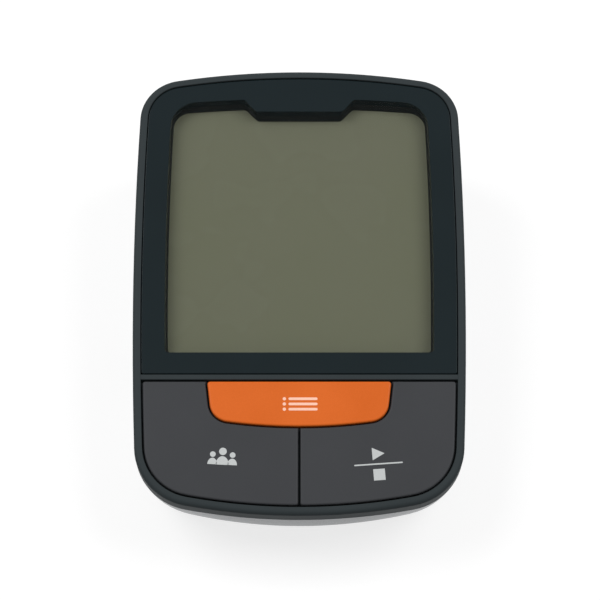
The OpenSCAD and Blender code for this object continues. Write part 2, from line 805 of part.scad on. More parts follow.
// Walls and roof over the cells, on a wider plinth that the cover's tongues run in
module bay_shell() {
    wide = bay_half_out;
    narrow = bay_half + bay_wall;
    plinth_top = cover_top + fit_gap + bay_wall;
    block(-wide, cover_front - tongue_w - fit_gap * 2 - bay_wall, floor_z - base_t / 2,
        wide, bay_rear + bay_wall, plinth_top);
    block(-narrow, bay_front - bay_wall, plinth_top - skin,
        narrow, bay_rear + bay_wall, bay_roof + bay_wall);
}
module bay_room() {
    block(-bay_half, bay_front, base_z - 1, bay_half, bay_rear, bay_roof);
    slot = tab_w / 2 + 0.1;
    for (x = [-1.5, 1.5] * cell_pitch)
        block(x - slot, bay_front, bay_roof - 1, x + slot, bay_front + contact_t + 0.1, face_h);
}
module lower_bosses() {
    for (p = housing_screws_at) peg(p.x, p.y, floor_z - base_t / 4, boss_meet(p.y) - 0.1, boss_r);
}
// A saddle on the underside for a round piece on the pump's axis
module saddle(x, depth, r) {
    difference() {
        block(x, pump_y - r - wall, floor_z - base_t / 2, x + depth, pump_y + r + wall, pump_z);
        translate([x - 1, pump_y, pump_z]) rotate([0, 90, 0]) cylinder(h = depth + 2, r = r + cradle_gap);
    }
}

// Section of the cover and of its channel, drawn across and pushed rearwards
module cover_section(gap, depth) {
    half = cover_half + gap;
    rotate([90, 0, 180]) linear_extrude(depth) polygon([
        [-half, 0], [half, 0], [half, tongue_floor - gap], [half + tongue_w, tongue_floor - gap],
        [half + tongue_w, cover_top + gap], [-half - tongue_w, cover_top + gap],
        [-half - tongue_w, tongue_floor - gap], [-half, tongue_floor - gap]
    ]);
}
module cover_channel() {
    translate([0, cover_front - fit_gap, 0]) cover_section(fit_gap, face_l);
    block(-cover_half, cover_front - tongue_w - fit_gap * 2, tongue_floor - fit_gap,
        cover_half, cover_front, cover_top + fit_gap);
}

module battery_cover() {
    grip_pitch = 2.2;
    color(silver_grey) difference() {
        intersection() {
            belly_solid();
            union() {
                translate([0, cover_front, 0]) cover_section(0, face_l);
                block(fit_gap - cover_half, cover_front - tongue_w, tongue_floor,
                    cover_half - fit_gap, cover_front + 1, cover_top);
            }
        }
        for (k = [0 : 4])
            block(-9, base_rear - 9 - k * grip_pitch, 0, 9, base_rear - 8 - k * grip_pitch, base_z + 0.45);
    }
}

module display_window() {
    color(window_black, 0.5) on_face()
        moulded(lens_chain, [[0.15, lens_floor], [0.15, lens_top - 0.3], [0.45, lens_top]]);
}
module window_border() {
    color(window_black) on_face() difference() {
        plate(lens_chain, 0.3, film_floor, lens_floor);
        opening(0, film_floor - 1, lens_floor + 1);
    }
}
module window_tape() {
    color("#d8d8d2") on_face() difference() {
        plate(lens_chain, 0.6, deck_top, film_floor);
        opening(-0.8, deck_top - 1, film_floor + 1, -0.8);
    }
}

module display_frame() {
    color(window_black) on_face() difference() {
        plate(box_chain(-frame_half, frame_front, frame_half, frame_rear, 2), 0, board_top, bezel_top);
        block(-glass_half - fit_gap, glass_front - fit_gap, board_top - 1,
            glass_half + fit_gap, glass_rear + fit_gap, glass_top);
        opening(bezel_in, glass_top - 1, bezel_top + 1, bezel_in);
    }
}
module display_panel() {
    color(display_grey) on_face() {
        block(-glass_half, glass_front, glass_mid, glass_half, glass_rear, glass_top);
        block(-glass_half, glass_front + ledge_w, glass_floor,
            glass_half, glass_rear - ledge_w, glass_mid + skin);
    }
}
module display_reflector() {
    color(steel) on_face()
        block(0.5 - glass_half, glass_front + ledge_w + 0.5, glass_floor - reflector_t,
            glass_half - 0.5, glass_rear - ledge_w - 0.5, glass_floor);
}
module contact_strips() {
    strip_w = ledge_w - 0.8;
    color("#8a8f96") on_face() for (v = [glass_front + 0.3, glass_rear - 0.3 - strip_w])
        block(2 - glass_half, v, board_top, glass_half - 2, v + strip_w, glass_mid);
}

// A key's stem and its two hooks, from under the cap; the hooks catch under the deck
module key_legs(p) {
    catch_top = deck_floor - 0.06;
    peg(p.x, p.y, plunger_top + 0.05, cap_floor + skin, stem_r);
    for (side = [-1, 1]) {
        u = p.x + side * hook_pitch;
        block(u - hook_t / 2, p.y - hook_w / 2, catch_top - 1.2,
            u + hook_t / 2, p.y + hook_w / 2, cap_floor + skin);
        translate([u, p.y + hook_w / 2, 0]) rotate([90, 0, 0]) linear_extrude(hook_w) polygon([
            [0, catch_top - 1.4], [0, catch_top],
            [side * (hook_t / 2 + hook_catch), catch_top], [side * hook_t / 2, catch_top - 1.4]
        ]);
    }
}
module cap(chain) {
    moulded(chain, rounded_top(0, cap_floor, -key_drop, key_edge_r));
}
// What the memory key takes out of the keys beside it, flared so that their edges are rounded
module memory_room() {
    moulded(memory_chain, concat([[-key_gap, cap_floor - 1]],
        [for (k = [0 : fillet_steps]) let (a = 90 * k / fillet_steps)
            [-key_gap - key_edge_r * (1 - cos(a)), key_edge_r * (sin(a) - 1) - key_drop]],
        [[-key_gap - key_edge_r, 1]]));
}
module side_key(side, p) {
    on_face() {
        difference() {
            if (side > 0) cap(side_key_chain);
            else mirror([1, 0, 0]) cap(side_key_chain);
            memory_room();
        }
        key_legs(p);
    }
}
module memory_key() {
    color(memory_orange) on_face() {
        cap(memory_chain);
        key_legs(key_stems()[0]);
    }
}
module user_key() {
    color(key_grey) side_key(-1, key_stems()[1]);
}
module start_key() {
    color(key_grey) side_key(1, key_stems()[2]);
}

module switch_plunger(p) {
    color("black") on_face() peg(p.x, p.y, plunger_top - 1.6, plunger_top, plunger_r);
}
module memory_plunger() {
    switch_plunger(key_stems()[0]);
}
module user_plunger() {
    switch_plunger(key_stems()[1]);
}
module start_plunger() {
    switch_plunger(key_stems()[2]);
}
module switch_bodies() {
    color(steel) on_face() for (p = key_stems()) difference() {
        block(p.x - switch_w / 2, p.y - switch_w / 2, board_top,
            p.x + switch_w / 2, p.y + switch_w / 2, board_top + switch_h);
        peg(p.x, p.y, plunger_top - 1.6 - key_travel - 0.2, board_top + switch_h + 1, plunger_r + 0.06);
    }
}

module main_board() {
    color(board_green) difference() {
        on_face() plate(board_chain, 0, board_floor, board_top);
        for (p = housing_screws_at) peg(p.x, p.y, 0, face_h + face_l, boss_r + 0.4);
        on_face() for (p = board_screws_at)
            peg(p.x, p.y, board_floor - 1, board_top + 1, board_screw_r + 0.1);
        at_pump() peg(0, 0, pump_end - 1, motor_l + 1, head_r + 1);
    }
}
// A block on the underside of the board
module under_board(at, size) {
    block(at.x - size[0] / 2, at.y - size[1] / 2, board_floor - size[2],
        at.x + size[0] / 2, at.y + size[1] / 2, board_floor);
}
module board_chips() {
    color("#26282b") on_face() {
        for (c = chips) under_board([c[0], c[1]], [c[2], c[3], c[4]]);
        for (c = capacitors) peg(c[0], c[1], board_floor - c[2], board_floor, c[3]);
    }
}
module sounder() {
    floor = board_floor - sounder_h;
    color("black") on_face() difference() {
        peg(sounder_at.x, sounder_at.y, floor, board_floor, sounder_r);
        peg(sounder_at.x, sounder_at.y, floor - 1, floor + 1.5, sounder_r / 6);
    }
}
module board_connectors() {
    color(cream) on_face() for (p = plugs_at) difference() {
        under_board(p, plug_size);
        block(p.x - plug_size[0] / 2 + plug_wall, p.y - plug_size[1] / 2 + plug_wall,
            board_floor - plug_size[2] - 1, p.x + plug_size[0] / 2 - plug_wall,
            p.y + plug_size[1] / 2 - plug_wall, board_floor - plug_floor);
    }
}
module pressure_sensor() {
    tip = sensor_v - sensor_w / 2 - nozzle_l;
    color(cream) on_face() difference() {
        union() {
            block(sensor_u - sensor_w / 2, sensor_v - sensor_w / 2, board_floor - sensor_h,
                sensor_u + sensor_w / 2, sensor_v + sensor_w / 2, board_floor);
            translate([sensor_u, tip, sensor_nozzle_w]) rotate([-90, 0, 0])
                cylinder(h = nozzle_l + 1, r = nozzle_r);
        }
        translate([sensor_u, tip - 1, sensor_nozzle_w]) rotate([-90, 0, 0])
            cylinder(h = nozzle_l + 4, r = air_bore_r);
    }
}

// The air axis runs from the middle to the left wall, at the pump's height
module air_axis(x = 0) {
    translate([x, pump_y, pump_z]) rotate([0, -90, 0]) children();
}
module air_socket() {
    color(rubber) air_axis(socket_tip_x) difference() {
        union() {
            cylinder(h = nozzle_l + skin, r = nozzle_r);
            translate([0, 0, nozzle_l]) cylinder(h = socket_neck_x - socket_face_x, r = socket_r);
            translate([0, 0, socket_tip_x - socket_flange_x - socket_flange_t])
                cylinder(h = socket_flange_t, r = socket_r + 1.6);
        }
        translate([0, 0, -1]) cylinder(h = nozzle_l + socket_depth, r = air_bore_r);
        translate([0, 0, socket_tip_x - socket_face_x - socket_depth])
            cylinder(h = socket_depth + 1, r = socket_bore_r);
    }
}

module jack_axis(u = 0) {
    translate([u, jack_v, jack_axis_w]) rotate([0, 90, 0]) children();
}
module power_jack() {
    inner = jack_mouth_u - jack_l;
    color("#1d1d1f") on_face() difference() {
        union() {
            block(inner, jack_v - jack_w / 2, board_floor - jack_h,
                half_face - wall - 1.6, jack_v + jack_w / 2, board_floor);
            jack_axis(half_face - wall - 1.7)
                cylinder(h = jack_mouth_u - half_face + wall + 1.7, r = jack_collar_r);
        }
        jack_axis(jack_mouth_u - jack_depth) cylinder(h = jack_depth + 1, r = jack_bore_r);
    }
}
module power_jack_pin() {
    color(brass) on_face() jack_axis(jack_mouth_u - jack_depth) {
        cylinder(h = jack_depth - 2, r = jack_pin_r);
        translate([0, 0, jack_depth - 2]) sphere(r = jack_pin_r);
    }
}

// Along the pump's axis, from the joint between head and motor, positive towards the motor
module at_pump() {
    translate([pump_x, pump_y, pump_z]) rotate([0, 90, 0]) children();
}
module motor_case() {
    color(steel) at_pump() difference() {
        cylinder(h = motor_l, r = motor_r);
        peg(0, 0, motor_wall + 0.4, motor_l + 1, motor_r - motor_wall);
        peg(0, 0, -1, motor_wall + 1, shaft_r + 0.05);
    }
}
module motor_magnets() {
    outer = motor_r - motor_wall - 0.02;
    color("#4a4a4e") at_pump() for (a = [25, 205]) translate([0, 0, rotor_start]) rotate([0, 0, a])
        rotate_extrude(angle = 130) translate([rotor_r + 0.4, 0]) square([outer - rotor_r - 0.4, rotor_l]);
}
module motor_end_cap() {
    color(cream) at_pump() difference() {
        union() {
            peg(0, 0, motor_l - cap_plate_t, motor_l, motor_r - motor_wall - 0.03);
            peg(0, 0, motor_l - skin, motor_l + 1.2, shaft_r + 2);
            for (x = [-terminal_gap, terminal_gap])
                block(x - 0.4, -1, motor_l - skin, x + 0.4, 1, motor_l + terminal_l);
        }
        peg(0, 0, motor_l - cap_plate_t - 1, motor_l + 3, shaft_r + 0.05);
    }
}
module motor_rotor() {
    color(copper) at_pump() {
        peg(0, 0, shaft_front, motor_l + 0.8, shaft_r);
        peg(0, 0, rotor_start - 0.3, rotor_start + rotor_l + 0.3, shaft_r + 1.6);
        peg(0, 0, motor_l - cap_plate_t - 4.5, motor_l - cap_plate_t - 0.5, shaft_r + 1.6);
        for (a = [0, 120, 240]) rotate([0, 0, a]) {
            block(shaft_r + 0.8, -1.2, rotor_start, rotor_r - 1, 1.2, rotor_start + rotor_l);
            intersection() {
                peg(0, 0, rotor_start, rotor_start + rotor_l, rotor_r);
                block(rotor_r - 1.8, -4, rotor_start, rotor_r, 4, rotor_start + rotor_l);
            }
        }
    }
}
module pump_crank() {
    color(cream) at_pump() difference() {
        union() {
            peg(0, 0, crank_front, -head_wall - 0.4, crank_r);
            peg(crank_throw, 0, crank_front - 2.2, crank_front + 0.2, pin_r);
        }
        peg(0, 0, shaft_front, 0, shaft_r + 0.02);
    }
}
module pump_housing() {
    color(cream) at_pump() difference() {
        peg(0, 0, diaphragm_pos + diaphragm_t, 0, head_r);
        peg(0, 0, diaphragm_pos - 1, -head_wall, head_r - head_wall);
        peg(0, 0, -2, 1, shaft_r + 1.2);
    }
}
module wobble_plate() {
    reach = crank_throw + pin_r + 0.2;
    color(cream) at_pump() difference() {
        union() {
            peg(0, 0, plate_pos, plate_pos + plate_t, head_r - 1.8);
            peg(0, 0, plate_pos, -crank_room + 1.8, reach + 0.9);
        }
        peg(0, 0, plate_pos - 1, 0, reach);
        for (k = [0 : 2]) rotate([0, 0, 60 + 120 * k]) peg(head_r - 3.4, 0, plate_pos - 1, 0, 1);
    }
}
module pump_diaphragm() {
    color(rubber) at_pump() {
        peg(0, 0, diaphragm_pos, diaphragm_pos + diaphragm_t, head_r - 0.3);
        for (k = [0 : 2]) rotate([0, 0, 120 * k])
            peg(cup_circle, 0, diaphragm_pos + diaphragm_t - skin, plate_pos, cup_r);
    }
}
module pump_cover() {
    color(cream) at_pump() difference() {
        union() {
            peg(0, 0, pump_end, diaphragm_pos, head_r);
            peg(0, 0, pump_end - nozzle_l, pump_end + skin, nozzle_r);
        }
        for (k = [0 : 2]) rotate([0, 0, 120 * k])
            peg(cup_circle, 0, pump_end + 1.5, diaphragm_pos + 1, cup_r);
        peg(0, 0, pump_end + 1.5, diaphragm_pos + 1, 2);
        peg(0, 0, pump_end - nozzle_l - 1, pump_end + 2, air_bore_r);
    }
}
module pump_rings() {
    color(rubber) at_pump() for (place = ring_places) difference() {
        peg(0, 0, place, place + ring_w, ring_r);
        peg(0, 0, place - 1, place + ring_w + 1, motor_r + 0.02);
    }
}

// The valve stands on the floor; current pulls its plunger down on the seat
module at_valve() {
    translate([valve_x, valve_y, 0]) children();
}
module valve_base() {
    half = valve_w / 2;
    color(cream) at_valve() difference() {
        union() {
            block(-half, -half, valve_z, half, half, valve_z + valve_base_h);
            peg(0, 0, valve_z, valve_z + valve_base_h + seat_h, 1.5);
            translate([-half - nozzle_l, 0, valve_nozzle_z]) rotate([0, 90, 0])
                cylinder(h = nozzle_l + 1, r = nozzle_r);
        }
        translate([-half - nozzle_l - 1, 0, valve_nozzle_z]) rotate([0, 90, 0])
            cylinder(h = half + nozzle_l + 1, r = air_bore_r);
        peg(0, 0, valve_nozzle_z, valve_z + valve_base_h + seat_h + 1, air_bore_r - 0.1);
    }
}
module valve_frame() {
    half = valve_w / 2;
    low = valve_z + valve_base_h;
    color(steel) at_valve() difference() {
        block(-half, -half + 1, low, half, half - 1, valve_top);
        block(-half + frame_t, -half, low + frame_t, half - frame_t, half, valve_top - frame_t);
        peg(0, 0, low - 1, low + frame_t + 1, core_r + 0.3);
        peg(0, 0, valve_top - frame_t - 1, valve_top + 1, core_r + 0.1);
    }
}
module valve_coil() {
    color(copper) at_valve() difference() {
        union() {
            peg(0, 0, coil_z, coil_z + coil_h, coil_r);
            for (z = [coil_z, coil_z + coil_h - 0.7]) peg(0, 0, z, z + 0.7, coil_r + 0.4);
        }
        peg(0, 0, coil_z - 1, coil_z + coil_h + 1, core_r + 0.08);
    }
}
module valve_plunger() {
    color(steel) at_valve() {
        peg(0, 0, valve_gap_z, valve_top - 0.2, core_r - 0.02);
        peg(0, 0, collar_z, collar_z + core_collar_t, core_collar_r);
    }
}
module valve_spring() {
    color(steel) at_valve() translate([0, 0, valve_spring_z])
        coil_spring(core_r + 0.45, 0.2, valve_spring_l, 3, 12, 5);
}

// Ports to the pump, the socket, the valve and, slanted, the sensor: turn and distance of the seat
manifold_ports = [
    [[0, 90, 0], manifold_half], [[0, -90, 0], manifold_half],
    [[90, 0, 0], manifold_half], [[-45, 0, 0], slant_seat]
];
module air_manifold() {
    half = manifold_half;
    color(cream) translate([manifold_x, pump_y, pump_z]) difference() {
        union() {
            block(-half, -half, -half, half, half, half);
            for (p = manifold_ports) rotate(p[0]) cylinder(h = p[1] + nozzle_l, r = nozzle_r);
        }
        for (p = manifold_ports) rotate(p[0]) cylinder(h = p[1] + nozzle_l + 1, r = air_bore_r);
    }
}

module straight_hose(x_from, x_to) {
    color(rubber) air_axis(x_from) difference() {
        cylinder(h = x_from - x_to, r = hose_r);
        translate([0, 0, -1]) cylinder(h = x_from - x_to + 2, r = hose_bore_r);
    }
}
module pump_hose() {
    straight_hose(pump_tip_x + nozzle_l - hose_end_gap, manifold_x + manifold_half + hose_end_gap);
}
module socket_hose() {
    straight_hose(manifold_x - manifold_half - hose_end_gap, socket_neck_x + hose_end_gap);
}
// A hose from p0 along d0 to p1 along d1, straight over the nozzles at its ends
module bent_hose(p0, d0, p1, d1, up) {
    path = run_straight(nozzle_l, p0, d0, p1, d1, 10);
    // The bore's path runs on past both mouths
    bore = concat([p0 - unit(d0)], path, [p1 + unit(d1)]);
    color(rubber) difference() {
        hose(path, hose_r, 12, up);
        hose(bore, (hose_bore_r + 0.05) / cos(15), 12, up);
    }
}
module valve_hose() {
    from = [manifold_x, pump_y - manifold_half - hose_end_gap, pump_z];
    to = [valve_x - valve_w / 2 - hose_end_gap, valve_y, valve_nozzle_z];
    bent_hose(from, [0, -valve_sweep[0], 0], to, [valve_sweep[1], 0, 0], [0, 0, 1]);
}
module sensor_hose() {
    out = [0, cos(45), sin(45)];
    from = [manifold_x, pump_y, pump_z] + (slant_seat + hose_end_gap) * out;
    to = from_face([sensor_u, sensor_v - sensor_w / 2 - hose_end_gap, sensor_nozzle_w]);
    bent_hose(from, sensor_sweep * out, to, sensor_sweep * [0, cos(tilt), sin(tilt)], [1, 0, 0]);
}

// Cells lie side by side, every second one turned round
module cell(i) {
    x = (i - 1.5) * cell_pitch;
    forward = i % 2 == 0;
    can_l = cell_l - button_l;
    start = forward ? bay_front + contact_t : bay_front + contact_t + spring_l;
    color(forward ? "#3a5f8a" : "#34557c") translate([x, start, cell_z]) {
        translate([0, forward ? button_l : 0, 0]) rotate([-90, 0, 0]) cylinder(h = can_l, r = cell_d / 2);
        translate([0, forward ? 0 : can_l - skin, 0]) rotate([-90, 0, 0])
            cylinder(h = button_l + skin, r = button_r);
    }
}
module cell_1() {
    cell(0);
}
module cell_2() {
    cell(1);
}
module cell_3() {
    cell(2);
}
module cell_4() {
    cell(3);
}
module cell_springs() {
    color(steel) for (i = [0 : 3]) {
        forward = i % 2 == 0;
        y = forward ? bay_rear - contact_t : bay_front + contact_t;
        translate([(i - 1.5) * cell_pitch, y, cell_z]) rotate([forward ? 90 : -90, 0, 0])
            coil_spring(spring_coil_r, spring_wire_r, spring_l, 3, 10, 5);
    }
}
// The cells are in series: at the front the middle two are joined, and at the rear each
// outer one is joined to its neighbour. The two ends of the row have tabs for the wires.
module contact(from, to, y) {
    block((from - 1.5) * cell_pitch - contact_w / 2, y, cell_z - contact_w / 2,
        (to - 1.5) * cell_pitch + contact_w / 2, y + contact_t, cell_z + contact_w / 2);
}
module cell_contacts() {
    color(steel) {
        contact(1, 2, bay_front);
        for (i = [0, 2]) contact(i, i + 1, bay_rear - contact_t);
        for (i = [0, 3]) {
            x = (i - 1.5) * cell_pitch;
            contact(i, i, bay_front);
            block(x - tab_w / 2, bay_front, cell_z, x + tab_w / 2, bay_front + contact_t, tab_top);
        }
    }
}

// Two wires into a plug under the board: each from its own start, along its own direction,
// straight for a short way there and inside the plug
module wires_to(plug, starts, leave) {
    at = plugs_at[plug];
    depth = plug_size[2] - plug_floor;
    into = 5 * [0, -sin(tilt), cos(tilt)];
    for (i = [0, 1]) {
        end = from_face([at.x + (i * 2 - 1) * wire_gap / 2, at.y, board_floor - plug_floor - fit_gap]);
        first = starts[i] + wire_lead * unit(leave[i]);
        mouth = end - depth * unit(into);
        hose(concat([starts[i]], bend(first, leave[i], mouth, into, 9), [end]),
            wire_r, 6, [0.02, 1, 0.01]);
    }
}
module battery_wires() {
    color("#b03a2e") wires_to(0,
        [for (side = [-1, 1]) [side * 1.5 * cell_pitch, bay_front + contact_t / 2, tab_top]],
        [[0, 0, 4], [0, 0, 4]]);
}
module motor_wires() {
    x = pump_x + motor_l + terminal_l;
    color("#b03a2e") wires_to(1,
        [for (side = [1, -1]) [x, pump_y, pump_z + side * terminal_gap]], [[2, 0, 0], [9, 0, 0]]);
}
module valve_wires() {
    color("#33363a") wires_to(2,
        [for (side = [-1, 1]) [valve_x + side * 1.5, valve_y + coil_r, coil_z + coil_h / 2]],
        [[0, 3, 0], [0, 3, 0]]);
}

module board_screws() {
    color(steel) on_face() for (p = board_screws_at) translate([p.x, p.y, board_floor])
        pan_screw(board_screw_r, board_screw_l, 1.7);
}
module housing_screws() {
    color(steel) for (p = housing_screws_at) translate([p.x, p.y, boss_meet(p.y) - head_seat])
        pan_screw(screw_r, screw_l, screw_head_r);
}
module rubber_feet() {
    color(rubber) for (p = feet_at) translate([p.x, p.y, 0]) {
        cylinder(h = 0.5, r1 = foot_r - 0.5, r2 = foot_r);
        translate([0, 0, 0.5]) cylinder(h = base_z + foot_seat - 0.5, r = foot_r);
    }
}

upper_housing();
lower_housing();
battery_cover();
display_window();
window_border();
window_tape();
display_frame();
display_panel();
display_reflector();
contact_strips();
memory_key();
user_key();
start_key();
memory_plunger();
user_plunger();
start_plunger();
switch_bodies();
main_board();
board_chips();
sounder();
board_connectors();
pressure_sensor();
air_socket();
power_jack();
power_jack_pin();
motor_case();
motor_magnets();
motor_end_cap();
motor_rotor();
pump_crank();
pump_housing();
wobble_plate();
pump_diaphragm();
pump_cover();
pump_rings();
valve_base();
valve_frame();
valve_coil();
valve_plunger();
valve_spring();
air_manifold();
pump_hose();
socket_hose();
valve_hose();
sensor_hose();
cell_1();
cell_2();
cell_3();
cell_4();
cell_springs();
cell_contacts();
battery_wires();
motor_wires();
valve_wires();
board_screws();
housing_screws();
rubber_feet();
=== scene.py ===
"""Looks of a digital blood pressure monitor, built round its packed assembly of solids.

Sizes are in millimetres until a mesh is made. Most pieces are drawn on the face, with u to
the right, v up the slope and w out of the face, where w = 0 is the top of the rim.
"""

from __future__ import annotations

import json
import logging
import math
from collections.abc import Callable, Sequence
from dataclasses import dataclass, field
from enum import Enum

import bmesh
import bpy
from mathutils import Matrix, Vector

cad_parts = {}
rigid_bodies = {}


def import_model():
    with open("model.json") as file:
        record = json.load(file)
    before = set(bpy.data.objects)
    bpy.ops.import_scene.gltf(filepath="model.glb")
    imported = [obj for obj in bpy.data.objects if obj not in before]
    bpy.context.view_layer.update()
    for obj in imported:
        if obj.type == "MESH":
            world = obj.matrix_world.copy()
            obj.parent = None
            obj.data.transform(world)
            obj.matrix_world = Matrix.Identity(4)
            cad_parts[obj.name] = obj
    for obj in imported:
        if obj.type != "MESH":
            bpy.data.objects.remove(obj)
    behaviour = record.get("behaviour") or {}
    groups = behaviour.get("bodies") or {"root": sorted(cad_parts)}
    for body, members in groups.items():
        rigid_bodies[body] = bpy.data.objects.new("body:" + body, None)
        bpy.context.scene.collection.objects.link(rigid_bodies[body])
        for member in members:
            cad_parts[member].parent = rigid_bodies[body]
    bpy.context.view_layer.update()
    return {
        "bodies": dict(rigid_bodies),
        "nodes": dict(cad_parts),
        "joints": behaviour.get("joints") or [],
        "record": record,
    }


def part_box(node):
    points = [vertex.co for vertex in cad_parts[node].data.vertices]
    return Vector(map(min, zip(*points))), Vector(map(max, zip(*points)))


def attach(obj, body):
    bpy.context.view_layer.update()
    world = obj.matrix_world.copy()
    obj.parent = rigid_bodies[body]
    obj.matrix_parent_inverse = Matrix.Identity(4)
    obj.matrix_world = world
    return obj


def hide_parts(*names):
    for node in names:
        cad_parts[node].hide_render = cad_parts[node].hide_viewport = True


MM = 0.001
# Angles and gaps smaller than this count as nothing
TINY = 1e-7
# How far a cutting tool reaches past what it cuts
PAST = 1.0

Colour = tuple[float, float, float]
Point = tuple[float, float]
Point3 = tuple[float, float, float]
Place = Callable[[float, float, float], Vector]
Piece = bpy.types.Object
Inputs = dict[str | int, object]

log = logging.getLogger("monitor")


# Outlines


@dataclass(frozen=True)
class Edge:
    """An edge of an outline: an arc about a centre, with the corner that follows it.

    Attributes:
        x: The centre's place across.
        y: The centre's place along.
        r: Radius of the arc.
        corner: Radius of the corner after the arc.
        steps: Number of straight stretches that draw the arc.
    """

    x: float
    y: float
    r: float
    corner: float
    steps: int = 1

    def shrunk(self, by: float) -> Edge:
        """The same edge moved inwards."""
        return Edge(self.x, self.y, self.r - by, self.corner, self.steps)

    def facing(self, p: Point) -> float:
        """Angle of the direction in which the edge faces beside a point."""
        return math.atan2(p[1] - self.y, p[0] - self.x)

    def turns(self) -> int:
        """Number of straight stretches round its corner: a wide one has more."""
        return 14 if self.corner > 2 else 5


def line(angle: float, dist: float, corner: float) -> Edge:
    """A straight edge, drawn as an arc of a hundred metres.

    Args:
        angle: Direction that the edge faces, in degrees.
        dist: Distance of the edge from the origin.
        corner: Radius of the corner after it.

    Returns:
        The edge.
    """
    far = 100000.0
    a = math.radians(angle)
    return Edge((dist - far) * math.cos(a), (dist - far) * math.sin(a), far, corner)


def meet(a: Edge, b: Edge) -> Point:
    """The point where one edge ends at the next, on the outer side.

    Args:
        a: The edge that ends.
        b: The edge that follows.

    Returns:
        The point.
    """
    gap = math.hypot(b.x - a.x, b.y - a.y)
    ex, ey = (b.x - a.x) / gap, (b.y - a.y) / gap
    along = (a.r * a.r - b.r * b.r + gap * gap) / (2 * gap)
    rise = math.sqrt(max(0.0, a.r * a.r - along * along))
    return a.x + ex * along - ey * rise, a.y + ey * along + ex * rise


def after(angle: float, start: float) -> float:
    """An angle, with whole turns added until it isn't before another.

    Args:
        angle: The angle, in radians.
        start: The other angle.

    Returns:
        The same direction, at or after the start.
    """
    while angle < start - TINY:
        angle += 2 * math.pi
    return angle


def outline(edges: Sequence[Edge], inset: float = 0.0) -> list[Point]:
    """Points along a closed outline, counter-clockwise.

    Args:
        edges: Its edges, in order.
        inset: How far the outline is moved inwards.

    Returns:
        The points, always as many for the same edges.
    """
    least = inset + 0.02
    points: list[Point] = []
    for k, edge in enumerate(edges):
        before, then = edges[k - 1], edges[(k + 1) % len(edges)]
        r0 = max(before.corner, least)
        r1 = max(edge.corner, least)
        c0 = meet(before.shrunk(r0), edge.shrunk(r0))
        c1 = meet(edge.shrunk(r1), then.shrunk(r1))
        a0 = edge.facing(c0)
        a1 = after(edge.facing(c1), a0)
        a2 = after(then.facing(c1), a1)
        for n in range(1, edge.steps):
            a = a0 + (a1 - a0) * n / edge.steps
            r = edge.r - inset
            points.append((edge.x + r * math.cos(a), edge.y + r * math.sin(a)))
        turns = edge.turns()
        for n in range(turns + 1):
            a = a1 + (a2 - a1) * n / turns
            r = r1 - inset
            points.append((c1[0] + r * math.cos(a), c1[1] + r * math.sin(a)))
    return points


def body(half: float, front: float, rear: float, front_corner: float, rear_corner: float) -> list[Edge]:
    """Outline of the body at one level: four bowed edges with rounded corners.

    Args:
        half: Half the width, where the outline is widest.
        front: Place of the front edge on the middle line.
        rear: Place of the rear edge on the middle line.
        front_corner: Radius of the front corners.
        rear_corner: Radius of the rear corners.

    Returns:
        The right, rear, left and front edges.
    """
    side_r, rear_r, front_r = 1170.0, 235.0, 180.0
    widest = 13.5
    return [
        Edge(half - side_r, widest, side_r, rear_corner, 12),
        Edge(0, rear - rear_r, rear_r, rear_corner, 24),
        Edge(side_r - half, widest, side_r, front_corner, 12),
        Edge(0, front + front_r, front_r, front_corner, 24),
    ]


def rectangle(x0: float, y0: float, x1: float, y1: float) -> list[Point]:
    """The four corners of a rectangle, counter-clockwise."""
    return [(x0, y0), (x1, y0), (x1, y1), (x0, y1)]


def bent(path: Sequence[Point3]) -> list[Point]:
    """A closed path whose corners are rounded, each by its own radius.

    Args:
        path: Places across and along, each with the radius of its corner.

    Returns:
        The points.
    """
    turns = 6
    points: list[Point] = []
    for k, (x, y, r) in enumerate(path):
        here = Vector((x, y))
        if r == 0:
            points.append((x, y))
            continue
        back = (Vector(path[k - 1][:2]) - here).normalized()
        on = (Vector(path[(k + 1) % len(path)][:2]) - here).normalized()
        half = back.angle(on) / 2
        centre = here + (back + on).normalized() * r / math.sin(half)
        a = here + back * r / math.tan(half) - centre
        b = here + on * r / math.tan(half) - centre
        turn = math.atan2(a.x * b.y - a.y * b.x, a.dot(b))
        for n in range(turns + 1):
            c, s = math.cos(turn * n / turns), math.sin(turn * n / turns)
            points.append((centre.x + a.x * c - a.y * s, centre.y + a.x * s + a.y * c))
    return points


def disc(x: float, y: float, r: float, count: int) -> list[Point]:
    """Points round a circle, counter-clockwise."""
    turn = 2 * math.pi / count
    return [(x + r * math.cos(turn * k), y + r * math.sin(turn * k)) for k in range(count)]


def rounded(inset: float, low: float, high: float, r: float, steps: int) -> list[Point]:
    """Profile of a wall whose top edge is rounded.

    Args:
        inset: Inset of the wall.
        low: Level of its lower edge.
        high: Level of its top.
        r: Radius of the rounding.
        steps: Number of facets across it.

    Returns:
        Pairs of inset and level, upwards.
    """
    turn = math.pi / 2 / steps
    return [(inset, low)] + [
        (inset + r * (1 - math.cos(turn * k)), high - r + r * math.sin(turn * k))
        for k in range(steps + 1)
    ]


# Where things are


